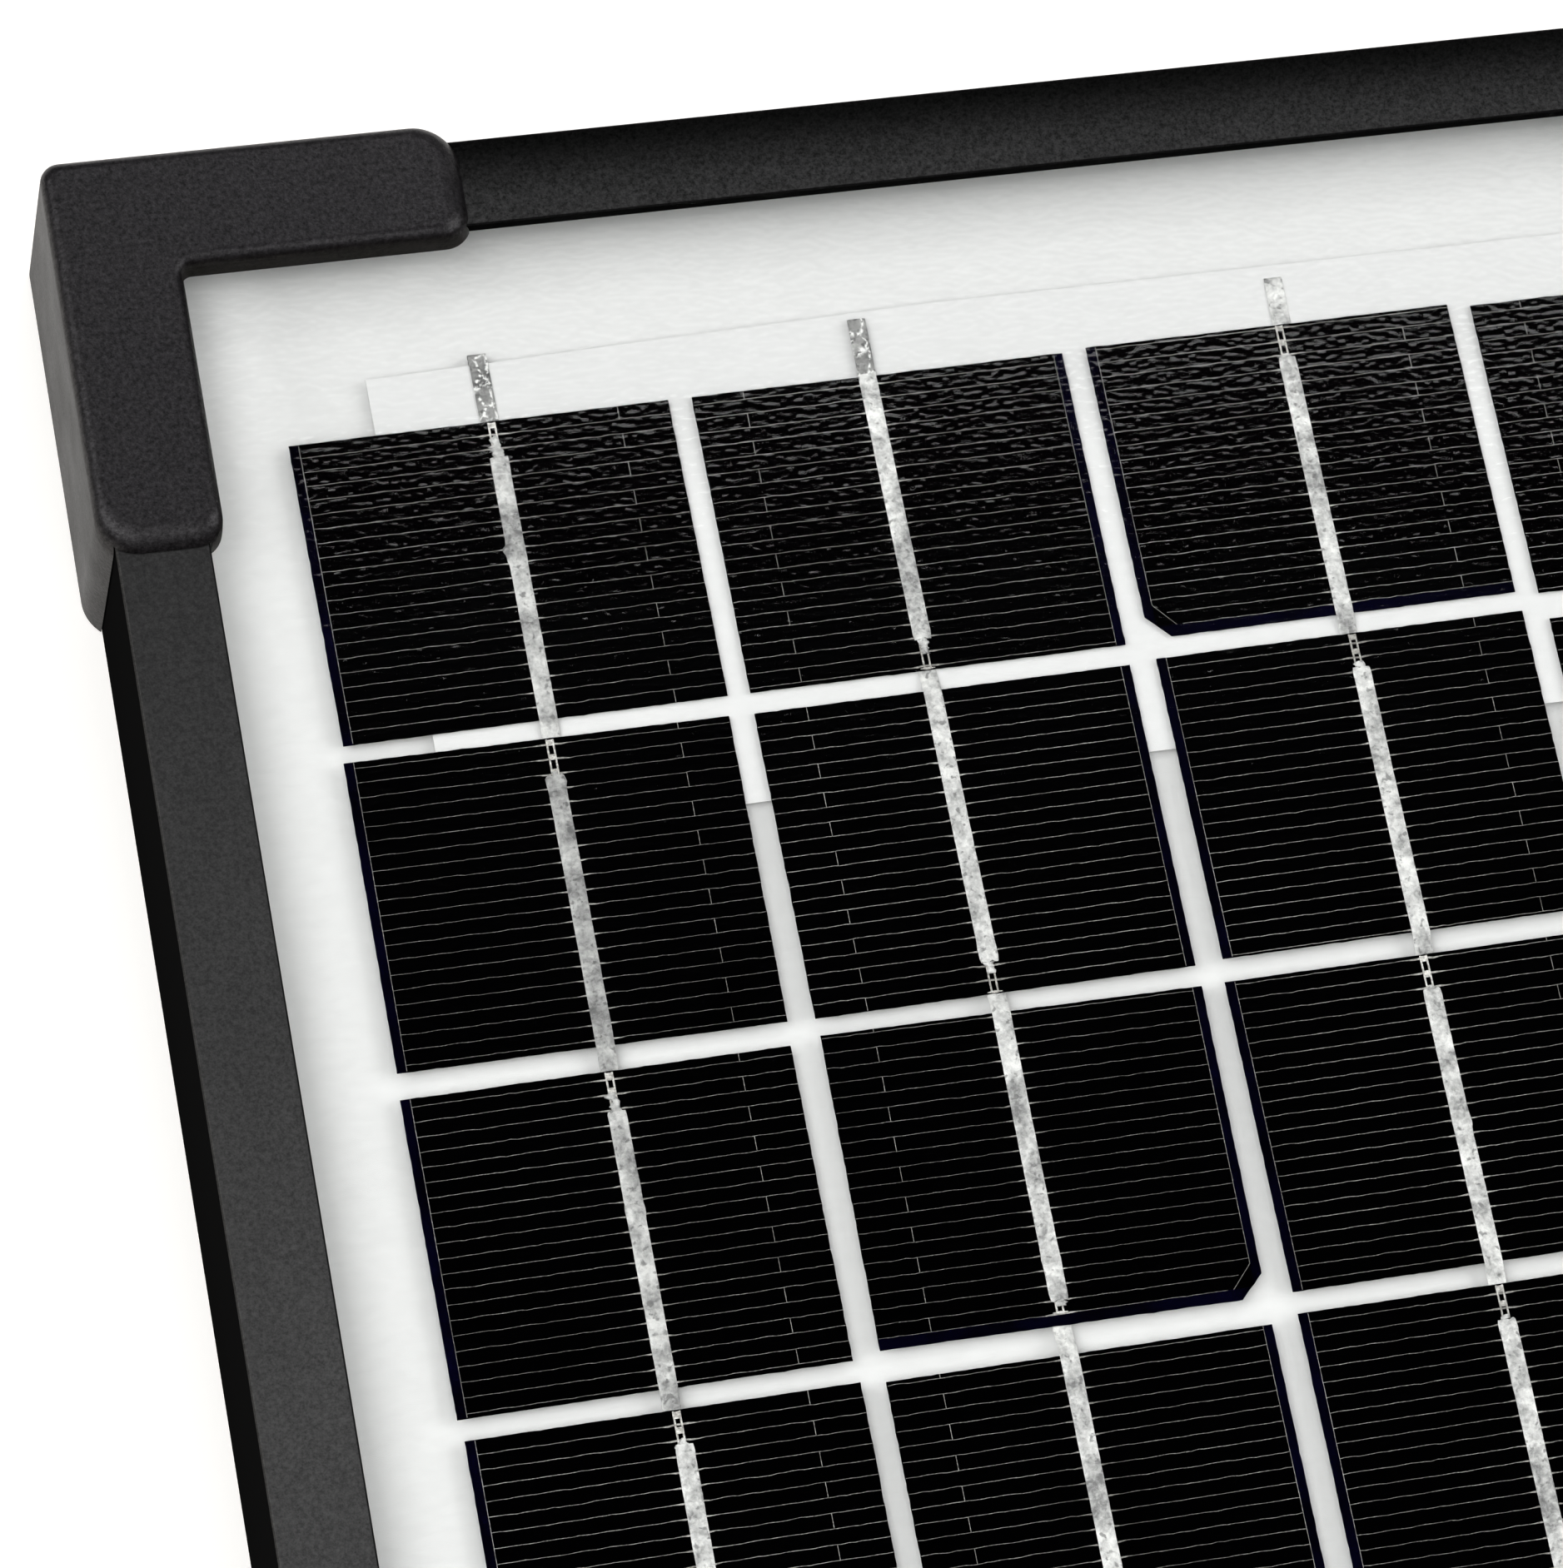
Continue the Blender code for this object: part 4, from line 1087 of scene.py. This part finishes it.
def end_tab(b, col, way, length, lean, seed, shift=(0.0, 0.0), sheet=True):
    """Tab from the back of an end cell, out past its edge."""
    edge = TOP_ROW if way > 0 else BOTTOM_ROW
    x = ribbon_x(col) + shift[0]
    tip = edge + way * length
    path = [(x - lean, edge - way * 8.0, TAIL_Z), (x, edge, TAIL_Z), (x + lean, tip, TAIL_Z)]
    ribbon_into(b, path, seed, width=1.54, ragged=(False, False), lump=0.035, thick=0.15, blobs=((9.5, 0.02, 0.02, 0.05, 0.6), (11.5, 0.0, 0.0, 0.06, 0.5)))
    if sheet:
        fold(b, x + lean, tip - way * 0.02, way, TAIL_Z + 0.08, BUS_Z + 0.05, 1.5)
    return x + lean, tip


def straight(b, x0, y0, x1, y1, z, width=2.0, seed=5.0):
    ribbon_into(b, [(x0, y0, z), (x1, y1, z)], seed, width=width, ragged=(False, False), lump=0.01, step=1.2, across=4, thick=0.12)


def leg(b, x, y):
    """Lead turned down through the back sheet into the box."""
    rings = [[(x - 1.0, y - 0.25, z), (x + 1.0, y - 0.25, z), (x + 1.0, y + 0.2, z), (x - 1.0, y + 0.2, z)] for z in (5.2, 7.5, 10.0, BUS_Z + 0.1)]
    b.ring_body(rings)


def lead(b, col, side, seed):
    x = ribbon_x(col)
    y_top, y_mid = TOP_ROW + 2.2, 104.0
    x_drop, x_leg = x + side * 8.0, BOX_X - side * 7.5
    straight(b, x - side * 1.0, y_top, x_drop + side * 1.0, y_top, BUS_Z, seed=seed)
    straight(b, x_drop, y_top + 1.0, x_drop, y_mid - 1.0, BUS_Z + 0.001, seed=seed + 1)
    straight(b, x_drop - side * 1.0, y_mid, x_leg - side * 1.0, y_mid, BUS_Z, seed=seed + 2)
    leg(b, x_leg, y_mid)


def collecting():
    b = Build()
    x, y = end_tab(b, 1, 1, 5.42, -0.10, 901, (-0.1, 0.0))
    straight(b, x, y - 0.2, x, TOP_ROW + 2.0, BUS_Z, 1.5, 11)
    lead(b, 1, 1, 21)
    obj = new_object("lead_positive", closed_mesh(b, "lead_positive"), [M_TIN_DULL], smooth=60)
    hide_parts("lead_ribbon_positive")

    b = Build()
    x = ribbon_x(4)
    straight(b, x, TOP_ROW + 4.6, x, TOP_ROW + 2.0, BUS_Z, 1.5, 12)
    lead(b, 4, -1, 31)
    obj = new_object("lead_negative", closed_mesh(b, "lead_negative"), [M_TIN_DULL], smooth=60)
    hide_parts("lead_ribbon_negative")

    b = Build()
    x, y = end_tab(b, 3, 1, 4.52, 0.06, 903, (0.10, 0.0))
    straight(b, ribbon_x(2) - 1.0, TOP_ROW + 3.4, x + 0.7, TOP_ROW + 3.4, BUS_Z, 2.0, 13)
    obj = new_object("link_top", closed_mesh(b, "link_top"), [M_TIN], smooth=60)
    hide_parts("link_ribbon_top")

    for name, a, c, node in (("link_bottom_left", 1, 2, "link_ribbon_bottom_left"), ("link_bottom_right", 3, 4, "link_ribbon_bottom_right")):
        b = Build()
        end_tab(b, c, -1, STUB, 0.05, 905 + a, sheet=False)
        y = BOTTOM_ROW - STUB + 1.0
        straight(b, ribbon_x(a) - 1.0, y, ribbon_x(c) + 1.0, y, TAIL_Z + 0.02, 2.0, 40 + a)
        obj = new_object(name, closed_mesh(b, name), [M_TIN_DULL], smooth=60)
        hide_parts(node)


collecting()


# ================================================================ glass with ground arrises, and the film under it
GLASS_T = 3.2
LAM_X, LAM_Y = HW - 1.9, HL - 1.9


def pane(name, low, high, arris, mats, node):
    def ring(i, z):
        pts = rounded([(-LAM_X + i, -LAM_Y + i, 1.0), (LAM_X - i, -LAM_Y + i, 1.0), (LAM_X - i, LAM_Y - i, 1.0), (-LAM_X + i, LAM_Y - i, 1.0)], 6)
        return [(x, y, z) for x, y in pts]

    b = Build()
    b.ring_body([ring(arris, low), ring(0, low + arris), ring(0, high - arris), ring(arris, high)])
    mesh = b.mesh(name)
    for poly in mesh.polygons:
        nz = poly.normal.z
        poly.material_index = 0 if nz > 0.9 else 1 if nz < -0.9 else 2
    obj = new_object(name, mesh, mats)
    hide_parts(node)
    return obj


pane("glass_front", GLASS_TOP - GLASS_T, GLASS_TOP, 0.25, [M_GLASS, M_UNDER, M_RIM], "glass_pane")
pane("encapsulant_film", 11.72, GLASS_TOP - GLASS_T - 0.02, 0.1, [M_FILM, M_FILM, M_FILM], "encapsulant")


# ================================================================ insulating sheet, a touch askew as laid
def insulating_sheet():
    def at(x, y):
        return (-HW + x, HL + y)

    outline = [at(23.42, -57.40), at(49.0, -57.36), at(82.0, -57.20), at(141.1, -57.3), at(140.3, -16.2), at(70.0, -16.25), at(45.0, -16.9), at(22.88, -17.60)]
    ring = wavy(outline, 71, 1.2, 0.03)
    mesh = prism_mesh(ring, 12.34, 12.46, "insulating_sheet")
    obj = new_object("insulating_sheet_laid", mesh, [M_SHEET])
    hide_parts("insulating_sheet")


insulating_sheet()


# ================================================================ junction box, lid and gland
def loft(levels, name):
    b = Build()
    b.ring_body(levels)
    mesh = b.mesh(name)
    bm = bmesh.new()
    bm.from_mesh(mesh)
    bmesh.ops.remove_doubles(bm, verts=bm.verts, dist=1e-6)
    bmesh.ops.recalc_face_normals(bm, faces=bm.faces)
    bm.to_mesh(mesh)
    bm.free()
    return mesh


def box_ring(inset, z, steps=8):
    w, l, r = BOX_W / 2 - inset, BOX_L / 2 - inset, max(BOX_R - inset, 0.4)
    pts = rounded([(BOX_X - w, BOX_Y - l, r), (BOX_X + w, BOX_Y - l, r), (BOX_X + w, BOX_Y + l, r), (BOX_X - w, BOX_Y + l, r)], steps)
    return [(x, y, z) for x, y in pts]


def junction_box():
    mesh = loft([box_ring(0.35, BOX_TOP), box_ring(0.0, BOX_TOP - 0.35), box_ring(0.0, BOX_RIM + 0.4), box_ring(0.25, BOX_RIM)], "box_base")
    base = new_object("box_base", mesh, [M_BOX])
    boolean(base, loft([box_ring(BOX_WALL, BOX_RIM - 2), box_ring(BOX_WALL + 0.2, BOX_TOP - 1.5)], "c"))
    for s in (-1, 1):
        x = BOX_X + s * 7.5
        boolean(base, prism_mesh([(x - 2.1, 102.7), (x + 2.1, 102.7), (x + 2.1, 105.3), (x - 2.1, 105.3)], BOX_TOP - 3, BOX_TOP + 1))
    wall = BOX_Y - BOX_L / 2
    hole = [[(BOX_X + 4.0 * math.cos(2 * math.pi * k / 32), y, GLAND_Z + 4.0 * math.sin(2 * math.pi * k / 32)) for k in range(32)] for y in (wall - 2, wall + BOX_WALL + 2)]
    boolean(base, loft(hole, "c"))
    base.data.shade_smooth()
    base.data.set_sharp_from_angle(angle=math.radians(35))
    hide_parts("junction_box_base")

    mesh = loft(
        [
            box_ring(3.4, LID_BOTTOM + 0.45),
            box_ring(3.0, LID_BOTTOM + 0.05),
            box_ring(2.7, LID_BOTTOM),
            box_ring(0.7, LID_BOTTOM),
            box_ring(0.2, LID_BOTTOM + 0.2),
            box_ring(0.0, LID_BOTTOM + 0.6),
            box_ring(0.0, BOX_RIM - 0.25),
            box_ring(0.3, BOX_RIM - 0.12),
        ],
        "box_lid",
    )
    lid = new_object("box_lid", mesh, [M_BOX])
    for sx in (-1, 1):  # finger notches for lifting the lid
        x = sx * BOX_W / 2
        boolean(lid, prism_mesh(rounded([(x - 0.9, BOX_Y - 5, 0.8), (x + 0.9, BOX_Y - 5, 0.8), (x + 0.9, BOX_Y + 5, 0.8), (x - 0.9, BOX_Y + 5, 0.8)], 6), LID_BOTTOM - 1, LID_BOTTOM + 0.7))
    lid.data.shade_smooth()
    lid.data.set_sharp_from_angle(angle=math.radians(30))
    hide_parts("junction_box_lid")

    # gland: ribbed dome nut, hexagon collar and a threaded neck
    def circle(y, r, flats=0, n=48):
        pts = []
        for k in range(n):
            a = 2 * math.pi * k / n
            rr = r
            if flats:
                span = 2 * math.pi / flats
                q = (a % span) - span / 2
                rr = min(r, r * 0.9 / max(math.cos(q), 0.5))
            pts.append((BOX_X + rr * math.cos(a), y, GLAND_Z + rr * math.sin(a)))
        return pts

    rings = [circle(wall + BOX_WALL, GLAND_BORE_R), circle(wall + BOX_WALL, GLAND_R), circle(wall - 0.3, GLAND_R)]
    rings += [circle(wall - 0.3, GLAND_NUT_R, 6), circle(wall - 2.6, GLAND_NUT_R, 6), circle(wall - 2.6, GLAND_R + 0.05)]
    y = wall - 2.75
    for k in range(3):
        rings += [circle(y, GLAND_R + 0.05), circle(y - 0.12, GLAND_R + 0.28), circle(y - 0.24, GLAND_R + 0.05)]
        y -= 0.32
    rings += [circle(y, GLAND_NUT_R - 0.25, 12), circle(y - 0.25, GLAND_NUT_R, 12), circle(y - 2.6, GLAND_NUT_R - 0.1, 12)]
    for k in range(1, 7):
        a = math.pi / 2 * k / 6
        rings.append(circle(y - 2.6 - 2.45 * math.sin(a), GLAND_BORE_R + 0.35 + (GLAND_NUT_R - 0.45 - GLAND_BORE_R) * math.cos(a)))
    rings += [circle(y - 5.05, GLAND_BORE_R)]
    b = Build()
    b.ring_body(rings + [rings[0]], closed_ends=False)
    mesh = b.mesh("gland")
    bm = bmesh.new()
    bm.from_mesh(mesh)
    bmesh.ops.remove_doubles(bm, verts=bm.verts, dist=1e-7)
    bmesh.ops.recalc_face_normals(bm, faces=bm.faces)
    bm.to_mesh(mesh)
    bm.free()
    gland = new_object("gland", mesh, [M_BOX], smooth=28)
    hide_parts("cable_gland")


junction_box()


def bead(name, loop, radius, z, seed):
    """Run of sealant along a closed plan loop, pressed into the corner under the back sheet."""
    b = Build()
    rings = []
    n = len(loop)
    for i in range(n):
        ax, ay = loop[i - 1]
        bx, by = loop[(i + 1) % n]
        d = math.hypot(bx - ax, by - ay)
        nx, ny = -(by - ay) / d, (bx - ax) / d
        x, y = loop[i]
        r = radius * (1 + 0.16 * noise.noise(Vector((x * 0.35, y * 0.35, seed))))
        rings.append([(x + nx * r * math.cos(a), y + ny * r * math.cos(a), z - r * 0.8 * math.sin(a)) for a in [math.pi * q / 6 for q in range(7)]])
    b.ring_body(rings + [rings[0]], closed_ends=False)
    mesh = b.mesh(name)
    bm = bmesh.new()
    bm.from_mesh(mesh)
    bmesh.ops.remove_doubles(bm, verts=bm.verts, dist=1e-7)
    bmesh.ops.recalc_face_normals(bm, faces=bm.faces)
    bm.to_mesh(mesh)
    bm.free()
    return new_object(name, mesh, [M_SEAL], smooth=50)


loop = [(x, y) for x, y, _ in box_ring(-0.55, 0, 8)]
dense = []
for i in range(len(loop)):
    a, b2 = loop[i], loop[(i + 1) % len(loop)]
    d = math.hypot(b2[0] - a[0], b2[1] - a[1])
    n = max(1, int(d / 1.5))
    dense += [(a[0] + (b2[0] - a[0]) * k / n, a[1] + (b2[1] - a[1]) * k / n) for k in range(n)]
bead("box_sealant", dense, 0.75, 11.34, 3.0)

# ================================================================ stage and light
floor_mesh = bpy.data.meshes.new("floor")
S = 3.0
floor_mesh.from_pydata([(-S, -S, -0.0002), (S, -S, -0.0002), (S, S, -0.0002), (-S, S, -0.0002)], [], [(0, 1, 2, 3)])
floor = bpy.data.objects.new("floor", floor_mesh)
bpy.context.scene.collection.objects.link(floor)
m = Mat("floor_white")
p = m.principled((0.92, 0.91, 0.895), 0.9, 0.0, 0.0)
p.inputs["Emission Color"].default_value = (1, 0.975, 0.93, 1)
p.inputs["Emission Strength"].default_value = 0.24
floor_mesh.materials.append(m.done(p))


def area(name, where, look, size, power, colour=(1, 1, 1), size_y=None):
    data = bpy.data.lights.new(name, "AREA")
    data.shape = "RECTANGLE"
    data.size, data.size_y = size, size_y or size
    data.energy = power
    data.color = colour
    obj = bpy.data.objects.new(name, data)
    bpy.context.scene.collection.objects.link(obj)
    obj.location = where
    d = Vector(look) - Vector(where)
    obj.rotation_euler = d.to_track_quat("-Z", "Y").to_euler()
    return obj


# softbox beyond the far right: only the slopes of the glass stipple mirror it to the camera
back = area("key_back", (0.412, 0.968, 1.42), (0.412, 0.968, 0), 0.95, 4.6, size_y=0.5)
back.rotation_euler = (0, 0, -0.075)
# overhead boxes: behind the camera, over the left side and off to the right
area("fill_front", (-0.38, -0.48, 1.36), (0, 0.03, 0), 1.1, 9.0, size_y=0.9)
area("fill_left", (-0.98, 0.18, 1.20), (0, 0.05, 0), 0.9, 12.0, size_y=1.3)
area("key_right", (1.45, -0.10, 1.15), (0, 0.03, 0), 1.1, 15.5, size_y=1.3)

# soft white tent, with an opening where the panel would mirror it straight into the lens
world = bpy.data.worlds.new("studio")
world.use_nodes = True
bpy.context.scene.world = world
wt = world.node_tree
bg = wt.nodes["Background"]
tc = wt.nodes.new("ShaderNodeTexCoord")
dot = wt.nodes.new("ShaderNodeVectorMath")
dot.operation = "DOT_PRODUCT"
dot.inputs[1].default_value = Vector((0.25, 0.31, 1.0)).normalized()
wt.links.new(tc.outputs["Generated"], dot.inputs[0])
rng = wt.nodes.new("ShaderNodeMapRange")
rng.interpolation_type = "SMOOTHSTEP"
for key, v in (("From Min", math.cos(math.radians(34))), ("From Max", math.cos(math.radians(22))), ("To Min", 0.40), ("To Max", 0.0)):
    rng.inputs[key].default_value = v
wt.links.new(dot.outputs["Value"], rng.inputs["Value"])
bg.inputs["Color"].default_value = (1, 0.995, 0.985, 1)
sep = wt.nodes.new("ShaderNodeSeparateXYZ")
wt.links.new(tc.outputs["Generated"], sep.inputs[0])
low = wt.nodes.new("ShaderNodeMapRange")
low.interpolation_type = "SMOOTHSTEP"
for key, v in (("From Min", 0.05), ("From Max", 0.65), ("To Min", 0.04), ("To Max", 1.0)):
    low.inputs[key].default_value = v
wt.links.new(sep.outputs[2], low.inputs["Value"])
mul = wt.nodes.new("ShaderNodeMath")
mul.operation = "MULTIPLY"
wt.links.new(rng.outputs["Result"], mul.inputs[0])
wt.links.new(low.outputs["Result"], mul.inputs[1])
wt.links.new(mul.outputs[0], bg.inputs["Strength"])
bpy.context.scene.view_settings.view_transform = "Standard"
bpy.context.scene.cycles.transparent_max_bounces = 32  # glass, film and the pockets in it lie over one another
bpy.context.scene.view_settings.look = "None"
